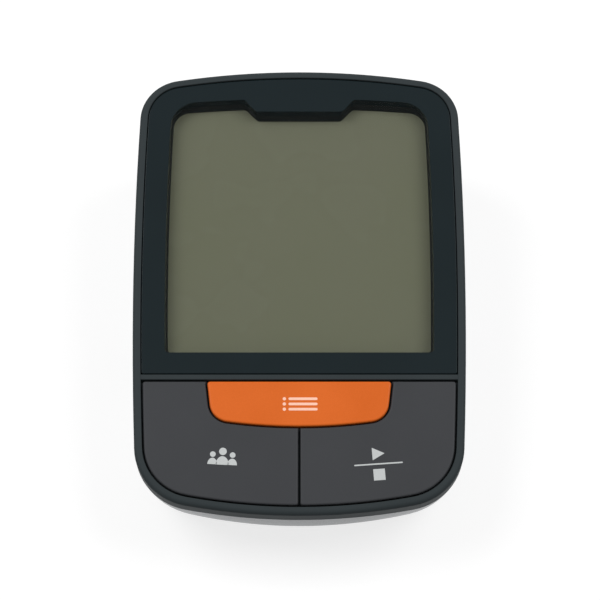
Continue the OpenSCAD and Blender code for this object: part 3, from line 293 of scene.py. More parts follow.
@dataclass(frozen=True)
class Layout:
    """Places and levels that several sub-assemblies share.

    Attributes:
        tilt: Slope of the face, in degrees.
        face_h: Height of the middle of the face above the table.
        half: Half the face's width inside the rim.
        front: The face's front edge inside the rim.
        rear: The face's rear edge inside the rim.
        front_corner: Radius of the face's front corners.
        rear_corner: Radius of the face's rear corners.
        rim: Width of the rim round the face.
        fillet: Radius of the rim's outer edge.
        skirt: Depth of the dark wall.
        wall: Thickness of the lower housing.
        lens_top: Upper side of the window.
        lens_floor: Lower side of the window.
        film_floor: Lower side of the window's print.
        deck_top: Upper side of the deck.
        deck_floor: Lower side of the deck.
        board_top: Upper side of the circuit board.
        board_floor: Lower side of the circuit board.
        rail_front: Front side of the rail.
        rail_rear: Rear side of the rail.
        shown: Upper side of the display's front layer.
        glass_top: Lower side of the display's front layer.
        opening_front: Front edge of the window's clear opening.
        opening_rear: Rear edge of the clear opening.
        notch_v: Front edge of the notch in its rear side.
        key_gap: Gap round the keys.
        hook_u: How far a key's hooks stand from its stem.
        memory_stem: Where the memory key's stem stands.
        side_stem: Where the right key's stem stands.
        rear_post: One of the board's rear posts.
        front_post: One of the board's front posts.
        base_z: Underside of the housing above the table.
        screw_x: How far the housing screws stand from the middle.
        screws_y: Where they stand along the table.
        boss_r: Radius of the screws' bosses.
        boss_drop: How far below the seam the two bosses of a screw meet.
        air_y: The pump's axis along the table.
        air_z: The pump's axis above the table.
        jack_v: The power jack's axis up the face.
        jack_w: The power jack's axis below the face.
    """

    tilt: float = 8.0
    face_h: float = 38.5
    half: float = 47.8
    front: float = -68.85
    rear: float = 68.85
    front_corner: float = 16.0
    rear_corner: float = 11.0
    rim: float = 2.4
    fillet: float = 1.4
    skirt: float = 6.0
    wall: float = 2.0
    lens_top: float = -0.5
    lens_floor: float = -2.3
    film_floor: float = -2.45
    deck_top: float = -2.7
    deck_floor: float = -4.5
    board_top: float = -10.15
    board_floor: float = -11.75
    rail_front: float = -30.15
    rail_rear: float = -28.55
    shown: float = -4.8
    glass_top: float = -5.65
    opening_front: float = -21.6
    opening_rear: float = 61.8
    notch_v: float = 57.4
    key_gap: float = 0.55
    hook_u: float = 8.0
    memory_stem: Point = (0, -37.6)
    side_stem: Point = (24, -52.85)
    rear_post: Point = (14, 64.85)
    front_post: Point = (30, -58.35)
    base_z: float = 1.2
    screw_x: float = 44.3
    screws_y: Point = (-33.0, 44.0)
    boss_r: float = 3.2
    boss_drop: float = 7.0
    air_y: float = -8.5
    air_z: float = 13.8
    jack_v: float = -9.0
    jack_w: float = -17.0

    @property
    def face_y(self) -> float:
        """Where the middle of the face stands, so that the footprint is centred.

        Returns:
            The place along the table.
        """
        c, s = math.cos(math.radians(self.tilt)), math.sin(math.radians(self.tilt))
        front = (self.rear + self.rim - self.fillet) * c - self.fillet * s + self.fillet
        rear = (self.rear + self.rim) * c + self.skirt * s
        return (front - rear) / 2

    def on_face(self, u: float, v: float, w: float) -> Vector:
        """A place on the face, in metres."""
        c, s = math.cos(math.radians(self.tilt)), math.sin(math.radians(self.tilt))
        return Vector((u, self.face_y + v * c - w * s, self.face_h + v * s + w * c)) * MM

    def on_table(self, x: float, y: float, z: float) -> Vector:
        """A place over the table, in metres."""
        return Vector((x, y, z)) * MM

    def level(self, y: float, w: float) -> float:
        """Height above the table of a level of the face, over a place along the table."""
        v = (y - self.face_y) / math.cos(math.radians(self.tilt))
        return self.on_face(0, v, w).z / MM

    @property
    def face(self) -> list[Edge]:
        """Outline of the face inside the rim."""
        return body(self.half, self.front, self.rear, self.front_corner, self.rear_corner)

    @property
    def stems(self) -> dict[str, Point]:
        """Where the stems of the keys stand."""
        u, v = self.side_stem
        return {"memory": self.memory_stem, "user": (-u, v), "start": (u, v)}

    @property
    def screws(self) -> list[Point]:
        """Where the housing screws stand on the table."""
        return [(x, y) for y in self.screws_y for x in (-self.screw_x, self.screw_x)]

    @property
    def posts(self) -> list[Point]:
        """Where the posts of the circuit board stand on the face."""
        return [(side * u, v) for u, v in (self.rear_post, self.front_post) for side in (-1, 1)]


LAYOUT = Layout()


# Work on meshes


def rest() -> None:
    """Leaves edit mode and deselects everything."""
    if bpy.context.object and bpy.context.object.mode != "OBJECT":
        bpy.ops.object.mode_set(mode="OBJECT")
    bpy.ops.object.select_all(action="DESELECT")


def pick(piece: Piece) -> None:
    """Makes a piece the only one selected.

    Args:
        piece: The piece.
    """
    rest()
    piece.select_set(True)
    bpy.context.view_layer.objects.active = piece


def titled(piece: Piece, name: str) -> Piece:
    """Gives a piece and its mesh a name.

    Args:
        piece: The piece.
        name: The name.

    Returns:
        The same piece.
    """
    piece.name = name
    piece.data.name = name
    return piece


def shell(name: str, rings: Sequence[Sequence[Vector]], hoop: bool = False) -> Piece:
    """Draws a closed skin through rings by extruding a circle from one ring to the next.

    Args:
        name: Name of the piece.
        rings: Rings of as many points each, in metres.
        hoop: Whether the last ring joins the first again, as on a tube's wall.

    Returns:
        The new piece, with its faces pointing outwards.
    """
    rest()
    fill = "NOTHING" if hoop else "NGON"
    bpy.ops.mesh.primitive_circle_add(vertices=len(rings[0]), radius=10 * MM, fill_type=fill)
    piece = titled(bpy.context.active_object, name)
    bpy.ops.object.mode_set(mode="EDIT")
    bpy.ops.mesh.select_mode(type="VERT")
    bpy.ops.mesh.select_all(action="SELECT")
    mesh = bmesh.from_edit_mesh(piece.data)
    row: dict[tuple[float, ...], int] = {}
    for k, vert in enumerate(mesh.verts):
        vert.co = rings[0][k]
        row[tuple(vert.co)] = k
    bmesh.update_edit_mesh(piece.data)
    for ring in [*rings[1:], *([rings[0]] if hoop else [])]:
        bpy.ops.mesh.extrude_region_move()
        mesh = bmesh.from_edit_mesh(piece.data)
        fresh = [vert for vert in mesh.verts if vert.select]
        order = [row[tuple(vert.co)] for vert in fresh]
        row = {}
        for k, vert in zip(order, fresh):
            vert.co = ring[k]
            row[tuple(vert.co)] = k
        bmesh.update_edit_mesh(piece.data)
    bpy.ops.mesh.select_all(action="SELECT")
    if hoop:
        bpy.ops.mesh.remove_doubles(threshold=TINY)
    bpy.ops.mesh.normals_make_consistent(inside=False)
    rest()
    return piece


def moulded(
    name: str, edges: Sequence[Edge], profile: Sequence[Point], place: Place, hoop: bool = False,
) -> Piece:
    """A skin over an outline whose inset changes with its level.

    Args:
        name: Name of the piece.
        edges: The outline.
        profile: Pairs of inset and level.
        place: From drawn to real places.
        hoop: Whether the profile closes on itself.

    Returns:
        The new piece.
    """
    rings = [[place(x, y, w) for x, y in outline(edges, inset)] for inset, w in profile]
    return shell(name, rings, hoop)


def slab(name: str, points: Sequence[Point], low: float, high: float, place: Place) -> Piece:
    """A plate of any outline between two levels."""
    return shell(name, [[place(x, y, w) for x, y in points] for w in (low, high)])


@dataclass(frozen=True)
class Axis:
    """A line on which round pieces are turned.

    Attributes:
        start: Where it starts, in metres.
        along: Its direction.
        across: A direction square to it.
    """

    start: Vector
    along: Vector
    across: Vector

    def ring(self, far: float, r: float, count: int) -> list[Vector]:
        """Points round the axis.

        Args:
            far: Distance along the axis.
            r: Radius off it.
            count: Number of points.

        Returns:
            The points, in metres.
        """
        over = self.along.cross(self.across)
        middle = self.start + self.along * far * MM
        turn = 2 * math.pi / count
        return [
            middle + (self.across * math.cos(turn * k) + over * math.sin(turn * k)) * r * MM
            for k in range(count)
        ]

    def turned(self, name: str, profile: Sequence[Point], hoop: bool = False, count: int = 48) -> Piece:
        """A round piece from pairs of distance along the axis and radius."""
        return shell(name, [self.ring(far, r, count) for far, r in profile], hoop)

    def rod(self, low: float, high: float, r: float, count: int = 48) -> Piece:
        """A plain round tool between two distances along the axis."""
        return self.turned("tool", [(low, r), (high, r)], count=count)


def upright(x: float, y: float, place: Place) -> Axis:
    """The axis that stands on a place, square to the face or the table."""
    foot, tip = place(x, y, 0), place(x, y, 1)
    return Axis(foot, (tip - foot).normalized(), Vector((1, 0, 0)))


def level_axis(start: Vector, side: int = 1) -> Axis:
    """The axis that runs level to the right, or to the left for a side of -1."""
    return Axis(start, Vector((side, 0, 0)), Vector((0, 1, 0)))


class How(Enum):
    """How one solid works on another."""

    CUT = "DIFFERENCE"
    FUSE = "UNION"
    KEEP = "INTERSECT"


def work(piece: Piece, how: How, *tools: Piece) -> Piece:
    """Cuts, fuses or keeps solids, and removes the tools.

    Args:
        piece: The piece that is worked on.
        how: What is done with the tools.
        *tools: The solids it is done with.

    Returns:
        The same piece.
    """
    for tool in tools:
        pick(piece)
        step = piece.modifiers.new("work", "BOOLEAN")
        step.operation = how.value
        step.solver = "EXACT"
        step.object = tool
        bpy.ops.object.modifier_apply(modifier=step.name)
        bpy.data.objects.remove(tool, do_unlink=True)
    return piece


def soften(piece: Piece, radius: float) -> Piece:
    """Rounds every edge of a boxy piece that turns by more than 50 degrees.

    Args:
        piece: The piece.
        radius: Radius of the rounding.

    Returns:
        The same piece.
    """
    pick(piece)
    step = piece.modifiers.new("soften", "BEVEL")
    step.width = radius * MM
    step.segments = 3
    step.limit_method = "ANGLE"
    step.angle_limit = math.radians(50)
    step.use_clamp_overlap = True
    bpy.ops.object.modifier_apply(modifier=step.name)
    return piece


def smooth(piece: Piece) -> Piece:
    """Shades a piece smoothly, apart from its sharp edges, and lets its flat faces lead.

    Args:
        piece: The piece.

    Returns:
        The same piece.
    """
    pick(piece)
    bpy.ops.object.shade_smooth_by_angle(angle=math.radians(32))
    step = piece.modifiers.new("flats", "WEIGHTED_NORMAL")
    step.keep_sharp = True
    step.weight = 100
    bpy.ops.object.modifier_apply(modifier=step.name)
    return piece


def joined(name: str, pieces: Sequence[Piece]) -> Piece:
    """Makes one object of several.

    Args:
        name: Its name.
        pieces: The pieces.

    Returns:
        The object.
    """
    rest()
    for piece in pieces:
        piece.select_set(True)
    bpy.context.view_layer.objects.active = pieces[0]
    bpy.ops.object.join()
    result = titled(bpy.context.active_object, name)
    rest()
    return result


# Finishes


@dataclass
class Net:
    """The nodes of a material or of the world."""

    tree: bpy.types.NodeTree

    def own(self, kind: str) -> bpy.types.Node:
        """The node of a kind that the tree has from the start."""
        return next(node for node in self.tree.nodes if node.type == kind)

    def fill(self, node: bpy.types.Node, inputs: Inputs) -> None:
        """Sets a node's inputs to values, or links them to sockets.

        Args:
            node: The node.
            inputs: A value or a socket for each input, by its name or number.
        """
        for name, value in inputs.items():
            if isinstance(value, bpy.types.NodeSocket):
                self.tree.links.new(value, node.inputs[name])
            else:
                node.inputs[name].default_value = value

    def add(self, kind: str, inputs: Inputs | None = None) -> bpy.types.Node:
        """A new node.

        Args:
            kind: Its type.
            inputs: A value or a socket for each input that is set.

        Returns:
            The node.
        """
        node = self.tree.nodes.new(kind)
        self.fill(node, inputs or {})
        return node

    def noise(self, place: bpy.types.NodeSocket, scale: float, detail: float) -> bpy.types.NodeSocket:
        """The value of a noise with so many waves to a metre and so many finer layers."""
        node = self.add("ShaderNodeTexNoise", {"Vector": place, "Scale": scale, "Detail": detail})
        return node.outputs["Fac"]


class Grain(Enum):
    """What varies a finish over its surface."""

    ERODED = "fine even grain of a spark-eroded mould"
    FLAKES = "fine metal flakes in paint"
    BRUSHED = "long fine scratches"
    CLOUDY = "soft broad clouds"
    WEAVE = "fine woven lines"


@dataclass(frozen=True)
class Finish:
    """A surface: its colours, gloss and grain.

    Attributes:
        slot: The record's name of this finish.
        colour: Its main colour.
        other: The colour that its grain mixes in.
        rough: Lowest and highest roughness.
        grain: What varies it.
        size: Size of the grain in millimetres.
        depth: Height of the grain in millimetres.
        metal: Share of metal.
        gloss: Level of reflection.
        alpha: How much it covers what is behind it.
        coat: Share of clear lacquer.
        cloud: Share of broad soft clouds in its colour.
        name: The material's name, where it isn't the slot's.
    """

    slot: str
    colour: Colour
    other: Colour
    rough: tuple[float, float] = (0.4, 0.5)
    grain: Grain = Grain.ERODED
    size: float = 0.35
    depth: float = 0.012
    metal: float = 0.0
    gloss: float = 0.5
    alpha: float = 1.0
    coat: float = 0.0
    cloud: float = 0.5
    name: str = ""

    def material(self) -> bpy.types.Material:
        """The material on Object coordinates, made once and used again.

        Returns:
            The material.
        """
        title = f"{self.name or self.slot}_finish"
        made = bpy.data.materials.get(title)
        if made:
            return made
        made = bpy.data.materials.new(title)
        made.use_nodes = True
        net = Net(made.node_tree)
        source = net.add("ShaderNodeTexCoord").outputs["Object"]
        place = net.add("ShaderNodeMapping", {"Vector": source}).outputs["Vector"]
        height = self.fine(net, place)
        cloud = net.noise(place, scale=45.0, detail=2.0)
        blend = net.add("ShaderNodeMix", {"Factor": self.cloud, "A": height, "B": cloud})
        tint = net.add("ShaderNodeValToRGB", {"Fac": blend.outputs["Result"]})
        for stop, at, colour in zip(tint.color_ramp.elements, (0.35, 0.65), (self.colour, self.other)):
            stop.position = at
            stop.color = (*colour, 1)
        haze = net.add("ShaderNodeMapRange", {
            "Value": cloud,
            "From Min": 0.3,
            "From Max": 0.7,
            "To Min": self.rough[0],
            "To Max": self.rough[1],
        })
        shader = net.own("BSDF_PRINCIPLED")
        net.fill(shader, {
            "Base Color": tint.outputs["Color"],
            "Roughness": haze.outputs["Result"],
            "Metallic": self.metal,
            "Specular IOR Level": self.gloss,
            "Coat Weight": self.coat,
            "Coat Roughness": 0.08,
            "Alpha": self.alpha,
        })
        if self.depth > 0:
            bump = {"Strength": 1.0, "Distance": self.depth * MM, "Height": height}
            net.fill(shader, {"Normal": net.add("ShaderNodeBump", bump).outputs["Normal"]})
        made.diffuse_color = (*self.colour, self.alpha)
        return made

    def fine(self, net: Net, place: bpy.types.NodeSocket) -> bpy.types.NodeSocket:
        """The grain itself.

        Args:
            net: The material's nodes.
            place: The coordinates.

        Returns:
            The grain's value.
        """
        scale = 1000 / self.size
        if self.grain is Grain.FLAKES:
            flakes = net.add("ShaderNodeTexVoronoi", {"Vector": place, "Scale": scale})
            grey = net.add("ShaderNodeRGBToBW", {"Color": flakes.outputs["Color"]})
            return grey.outputs["Val"]
        if self.grain is Grain.BRUSHED:
            stretch = net.add("ShaderNodeMapping", {"Vector": place, "Scale": (0.03, 1.0, 1.0)})
            return net.noise(stretch.outputs["Vector"], scale, detail=3.0)
        if self.grain is Grain.WEAVE:
            threads = {"Vector": place, "Scale": scale / 6, "Distortion": 1.5}
            return net.add("ShaderNodeTexWave", threads).outputs["Fac"]
        if self.grain is Grain.CLOUDY:
            return net.noise(place, scale / 8, detail=3.0)
        return net.noise(place, scale, detail=4.0)


def finish(slot: str, colour: Colour, **more: object) -> Finish:
    """A finish whose grain mixes in a slightly lighter shade, unless one is given.

    Args:
        slot: The record's name of the finish.
        colour: Its main colour.
        **more: Any other fields of the finish.

    Returns:
        The finish.
    """
    lighter = 1.12
    more.setdefault("other", (colour[0] * lighter, colour[1] * lighter, colour[2] * lighter))
    return Finish(slot=slot, colour=colour, **more)


HOUSING_DARK = finish("housing_dark", (0.037, 0.045, 0.048), rough=(0.40, 0.50), gloss=0.03)
HOUSING_SILVER = finish(
    "housing_silver", (0.33, 0.34, 0.35), other=(0.42, 0.43, 0.44), grain=Grain.FLAKES,
    size=0.16, depth=0.004, metal=0.35, rough=(0.36, 0.42), gloss=0.3, cloud=0.12,
)
WINDOW_CLEAR = finish(
    "window_clear", (0.006, 0.008, 0.009), rough=(0.38, 0.44), grain=Grain.CLOUDY, size=4.0,
    depth=0.0, alpha=0.12, gloss=0.2,
)
WINDOW_PRINT = finish(
    "window_print", (0.0045, 0.0115, 0.0142), other=(0.0055, 0.0130, 0.0160), rough=(0.08, 0.12),
    grain=Grain.CLOUDY, size=3.0, depth=0.0, gloss=0.15,
)
DISPLAY_GLASS = finish(
    "display_glass", (0.216, 0.229, 0.148), other=(0.221, 0.231, 0.157), rough=(0.24, 0.30),
    grain=Grain.CLOUDY, size=9.0, depth=0.0, gloss=0.15, cloud=0.3,
)
REFLECTOR = finish(
    "reflector", (0.60, 0.60, 0.60), grain=Grain.BRUSHED, rough=(0.25, 0.35), metal=0.6,
)
KEY_DARK = finish("key_dark", (0.042, 0.044, 0.048), rough=(0.42, 0.50), gloss=0.15, size=0.28)
KEY_ORANGE = finish(
    "key_orange", (0.68, 0.125, 0.010), other=(0.76, 0.148, 0.016), rough=(0.36, 0.44),
    gloss=0.2, size=0.3, depth=0.006,
)
FRAME_BLACK = finish(
    "black_plastic", (0.0105, 0.0130, 0.0125), rough=(0.5, 0.6), gloss=0.05, name="frame_black",
)
BLACK_PLASTIC = finish("black_plastic", (0.018, 0.018, 0.019), rough=(0.35, 0.5))
CREAM_PLASTIC = finish("cream_plastic", (0.76, 0.73, 0.64), rough=(0.35, 0.5))
TAPE = finish("tape", (0.62, 0.62, 0.59), grain=Grain.WEAVE, rough=(0.7, 0.85), size=0.5)
CIRCUIT_BOARD = finish(
    "circuit_board", (0.012, 0.095, 0.042), other=(0.018, 0.13, 0.058), grain=Grain.WEAVE,
    size=0.9, rough=(0.25, 0.4), coat=0.4,
)
RUBBER_DARK = finish("rubber_dark", (0.022, 0.022, 0.024), rough=(0.65, 0.8), depth=0.02, size=0.5)
SILICONE = finish("silicone", (0.58, 0.58, 0.56), rough=(0.35, 0.5), size=0.6, depth=0.006)
STEEL = finish(
    "steel", (0.50, 0.51, 0.52), grain=Grain.BRUSHED, rough=(0.25, 0.4), metal=1.0,
    depth=0.003, size=0.2,
)
MAGNET = finish("magnet", (0.065, 0.065, 0.07), rough=(0.45, 0.6), metal=0.4)
BRASS = finish(
    "brass", (0.57, 0.38, 0.10), grain=Grain.BRUSHED, rough=(0.2, 0.35), metal=1.0,
    depth=0.002, size=0.2,
)
COPPER = finish(
    "copper", (0.46, 0.13, 0.03), grain=Grain.BRUSHED, rough=(0.25, 0.4), metal=0.9,
    depth=0.01, size=0.25,
)
CELL_WRAP = finish(
    "cell_wrap", (0.036, 0.10, 0.22), rough=(0.22, 0.3), grain=Grain.CLOUDY, size=2.0,
    depth=0.004, coat=0.3,
)
WIRE_RED = finish("wire_red", (0.42, 0.04, 0.026), rough=(0.35, 0.5))
WIRE_DARK = finish("wire_dark", (0.028, 0.033, 0.04), rough=(0.35, 0.5))
MARK_PALE = finish("key_dark", (0.52, 0.54, 0.54), rough=(0.5, 0.6), depth=0.003, name="mark_pale")
MARK_WARM = finish("key_orange", (0.94, 0.56, 0.42), rough=(0.5, 0.6), depth=0.003, name="mark_warm")


@dataclass
class Part:
    """What every sub-assembly can do: dress its pieces and hand them to the frame."""

    frame: dict
    made: list[Piece] = field(default_factory=list)

    def hand_in(self, piece: Piece, look: Finish, body_name: str, *nodes: str) -> None:
        """Dresses a new piece and lets it ride on its body.

        Args:
            piece: The piece.
            look: Its finish.
            body_name: The body that carries it.
            *nodes: The solids that it stands for.
        """
        piece.data.materials.clear()
        piece.data.materials.append(look.material())
        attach(piece, body_name)
        if nodes:
            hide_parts(*nodes)
        self.made.append(piece)
        log.info("%s: %d faces, rides on %s", piece.name, len(piece.data.polygons), body_name)

    def dress(self, look: Finish, *nodes: str) -> None:
        """Gives solids that stay as they are their finish.

        Args:
            look: The finish.
            *nodes: The solids.
        """
        for node in nodes:
            solid = self.frame["nodes"][node]
            solid.data.materials.clear()
            solid.data.materials.append(look.material())
            log.info("%s: dressed as %s", node, look.slot)


@dataclass
class UpperHousing(Part):
    """The dark upper housing: skirt and rim, deck, rail and the posts and bosses below it.

    Attributes:
        edge: Radius of the rim's inner edge.
        ledge: How far the wall steps out under the deck.
        lip_out: How far it steps out in all, for the lower housing's lip.
        lip_w: Level of the step to it.
        deck_in: How far the deck reaches into the wall.
        opening_gap: Room between the deck's opening and the window's.
        stem_hole: Radius of the holes for the keys' stems.
        hook_in: Half-width of a hook's hole towards the stem.
        hook_out: Its half-width away from the stem.
        hook_half: Half its length up the face.
        rail_half: Half the rail's length.
        rail_top: Level of its top.
        rail_edge: Radius of its upper edges.
        boss_bore: Radius of the screws' pilot holes.
        boss_depth: Depth of those holes.
        flank: Where the bosses are cut flat beside the wall.
        post_r: Radius of the board's posts.
        post_bore: Radius of their holes.
        post_depth: Depth of their holes.
    """

    edge: float = 0.22
    ledge: float = 0.4
    lip_out: float = 1.4
    lip_w: float = -4.75
    deck_in: float = 0.8
    opening_gap: float = 0.45
    stem_hole: float = 2.8
    hook_in: float = 0.75
    hook_out: float = 1.6
    hook_half: float = 1.65
    rail_half: float = 48.2
    rail_top: float = -0.15
    rail_edge: float = 0.25
    boss_bore: float = 1.12
    boss_depth: float = 6.5
    flank: float = 46.8
    post_r: float = 2.0
    post_bore: float = 0.92
    post_depth: float = 3.7

    def rim(self) -> Piece:
        """The wall with its rounded outer edge and its small inner edge.

        Returns:
            The wall.
        """
        l = LAYOUT
        outer = rounded(-l.rim, -l.skirt, 0, l.fillet, 8)
        turns = [math.pi / 8 * k for k in range(5)]
        inner = [(-self.edge * (1 - math.sin(a)), -self.edge * (1 - math.cos(a))) for a in turns]
        below = [
            (0, l.deck_floor), (-self.ledge, l.deck_floor), (-self.ledge, self.lip_w),
            (-self.lip_out, self.lip_w), (-self.lip_out, -l.skirt),
        ]
        return moulded("upper_shell", l.face, outer + inner + below, l.on_face, hoop=True)

    def deck(self) -> Piece:
        """The plate under the window and the keys, with its openings.

        Returns:
            The plate.
        """
        l = LAYOUT
        low, high = l.deck_floor - PAST, l.deck_top + PAST
        profile = [(-self.deck_in, l.deck_floor), (-self.deck_in, l.deck_top)]
        plate = moulded("deck", l.face, profile, l.on_face)
        work(plate, How.CUT, Opening.tool(l.deck_floor, l.deck_top, self.opening_gap))
        for u, v in l.stems.values():
            work(plate, How.CUT, upright(u, v, l.on_face).rod(low, high, self.stem_hole))
            for side in (-1, 1):
                hook = u + l.hook_u * side
                x0, x1 = sorted((hook - self.hook_in * side, hook + self.hook_out * side))
                hole = rectangle(x0, v - self.hook_half, x1, v + self.hook_half)
                work(plate, How.CUT, slab("tool", hole, low, high, l.on_face))
        return plate

    def rail(self) -> Piece:
        """The bar between the window and the keys, with rounded upper edges.

        Returns:
            The bar.
        """
        l = LAYOUT
        mid, thick = (l.rail_front + l.rail_rear) / 2, (l.rail_rear - l.rail_front) / 2
        r, shoulder = self.rail_edge, self.rail_top - self.rail_edge
        section = [(-thick, l.deck_floor + 0.2), (-thick, shoulder)]
        for a in (0.4, 0.8, 1.2, 1.57):
            section.append((-thick + r * (1 - math.cos(a)), shoulder + r * math.sin(a)))
        section += [(-x, w) for x, w in reversed(section)]
        ends = (-self.rail_half, self.rail_half)
        return shell("rail", [[l.on_face(u, mid + x, w) for x, w in section] for u in ends])

    def boss(self, x: float, y: float) -> Piece:
        """A screw boss from the deck down to the lower one, with a flat outer flank.

        Args:
            x: The screw's place across.
            y: Its place along.

        Returns:
            The boss.
        """
        l = LAYOUT
        low, top = l.level(y, -l.skirt) - l.boss_drop, l.level(y, (l.deck_top + l.deck_floor) / 2)
        out = self.flank - abs(x)
        side = math.copysign(1, x)
        points = [(x + side * min(px, out), y + py) for px, py in disc(0, 0, l.boss_r, 36)]
        post = slab("boss", points, low, top, l.on_table)
        bore = upright(x, y, l.on_table).rod(low - PAST, low + self.boss_depth, self.boss_bore, 24)
        return work(post, How.CUT, bore)

    def post(self, u: float, v: float) -> Piece:
        """A post that the circuit board is screwed to.

        Args:
            u: Its place across the face.
            v: Its place up the face.

        Returns:
            The post.
        """
        low, root = LAYOUT.board_top, LAYOUT.deck_floor + 0.05
        axis = upright(u, v, LAYOUT.on_face)
        post = axis.rod(low, root, self.post_r, 32)
        return work(post, How.CUT, axis.rod(low - PAST, low + self.post_depth, self.post_bore, 20))

    def build(self) -> None:
        """Builds and dresses the upper housing."""
        whole = work(self.rim(), How.FUSE, self.deck(), self.rail())
        for x, y in LAYOUT.screws:
            work(whole, How.FUSE, self.boss(x, y))
        for u, v in LAYOUT.posts:
            work(whole, How.FUSE, self.post(u, v))
        titled(whole, "upper_shell")
        self.hand_in(smooth(whole), HOUSING_DARK, "root", "upper_housing")


@dataclass(frozen=True)
class Opening:
    """The window's clear opening at one level, narrower towards the display, with its notch.

    Each slant says how much further in an edge lies at the face of the display than at the
    window's top.

    Attributes:
        level: The level, as w on the face.
        grow: How far the outline is moved outwards.
        side_in: How far its side edges lie inside the face's.
        side_slant: Slant of the side edges.
        rear_slant: Slant of the rear edge.
        front_slant: Slant of the front edge.
        rear_r: Radius of the rear edge.
        rear_corner: Radius of the rear corners at the top.
        corner_slant: How much smaller they are at the display.
        front_corner: Radius of the front corners.
        notch_half: Half the notch's width at the opening's rear edge.
        notch_slope: How much narrower each side of it is at its tip.
        notch_corner: Radius of the notch's corners.
        tip_slant: Slant of the notch's tip.
        half_slant: How much narrower the notch is at the display, on each side.
        slope_slant: How much more it narrows towards its tip there.
    """

    level: float
    grow: float = 0.0
    side_in: float = 7.18
    side_slant: float = 0.62
    rear_slant: float = 1.55
    front_slant: float = 1.2
    rear_r: float = 430.0
    rear_corner: float = 8.5
    corner_slant: float = 3.0
    front_corner: float = 1.2
    notch_half: float = 17.0
    notch_slope: float = 3.5
    notch_corner: float = 1.5
    tip_slant: float = 1.4
    half_slant: float = 0.4
    slope_slant: float = 0.3

    @property
    def down(self) -> float:
        """Share of the way down from the window's top to the face of the display."""
        return (LAYOUT.lens_top - self.level) / (LAYOUT.lens_top - LAYOUT.shown)

    @property
    def rear(self) -> float:
        """Place of the rear edge on the middle line."""
        return LAYOUT.opening_rear - self.rear_slant * self.down

    def ring(self) -> list[Vector]:
        """The outline without its notch, in metres.

        Returns:
            The points, counter-clockwise.
        """
        right, _, left, _ = LAYOUT.face
        side = right.r - self.side_in - self.side_slant * self.down
        corner = self.rear_corner - self.corner_slant * self.down
        front = -LAYOUT.opening_front - self.front_slant * self.down
        edges = [
            Edge(right.x, right.y, side, corner, 12),
            Edge(0, self.rear - self.rear_r, self.rear_r, corner, 24),
            Edge(left.x, left.y, side, self.front_corner, 12),
            line(270, front, self.front_corner),
        ]
        return [LAYOUT.on_face(x, y, self.level) for x, y in outline(edges, -self.grow)]

    def notch(self) -> list[Vector]:
        """The part that the notch takes away, reaching past the rear edge, in metres.

        Returns:
            The points, counter-clockwise.
        """
        tip = LAYOUT.notch_v - self.tip_slant * self.down + self.grow
        half = self.notch_half - self.half_slant * self.down - self.grow
        slope = self.notch_slope + self.slope_slant * self.down
        rear = self.rear + self.grow - half * half / 2 / self.rear_r
        wide, far, r = 6, 9, self.notch_corner
        right = [
            (half - slope, tip, r),
            (half, rear, r),
            (half + wide, rear - wide * half / self.rear_r, 0.0),
            (half + wide, rear + far, 0.0),
        ]
        path = bent(right + [(-x, y, r) for x, y, r in reversed(right)])
        return [LAYOUT.on_face(x, y, self.level) for x, y in path]

    @staticmethod
    def tool(low: float, high: float, grow: float) -> Piece:
        """The room between two levels and a little beyond, with round corners.

        Args:
            low: The lower level.
            high: The upper level.
            grow: How far it is moved outwards.

        Returns:
            The room.
        """
        beyond = 2.0
        ends = Opening(low - beyond, grow), Opening(high + beyond, grow)
        room = shell("tool", [end.ring() for end in ends])
        past = [Opening(end.level + step, grow).notch() for end, step in zip(ends, (-PAST, PAST))]
        return work(room, How.CUT, shell("tool", past))


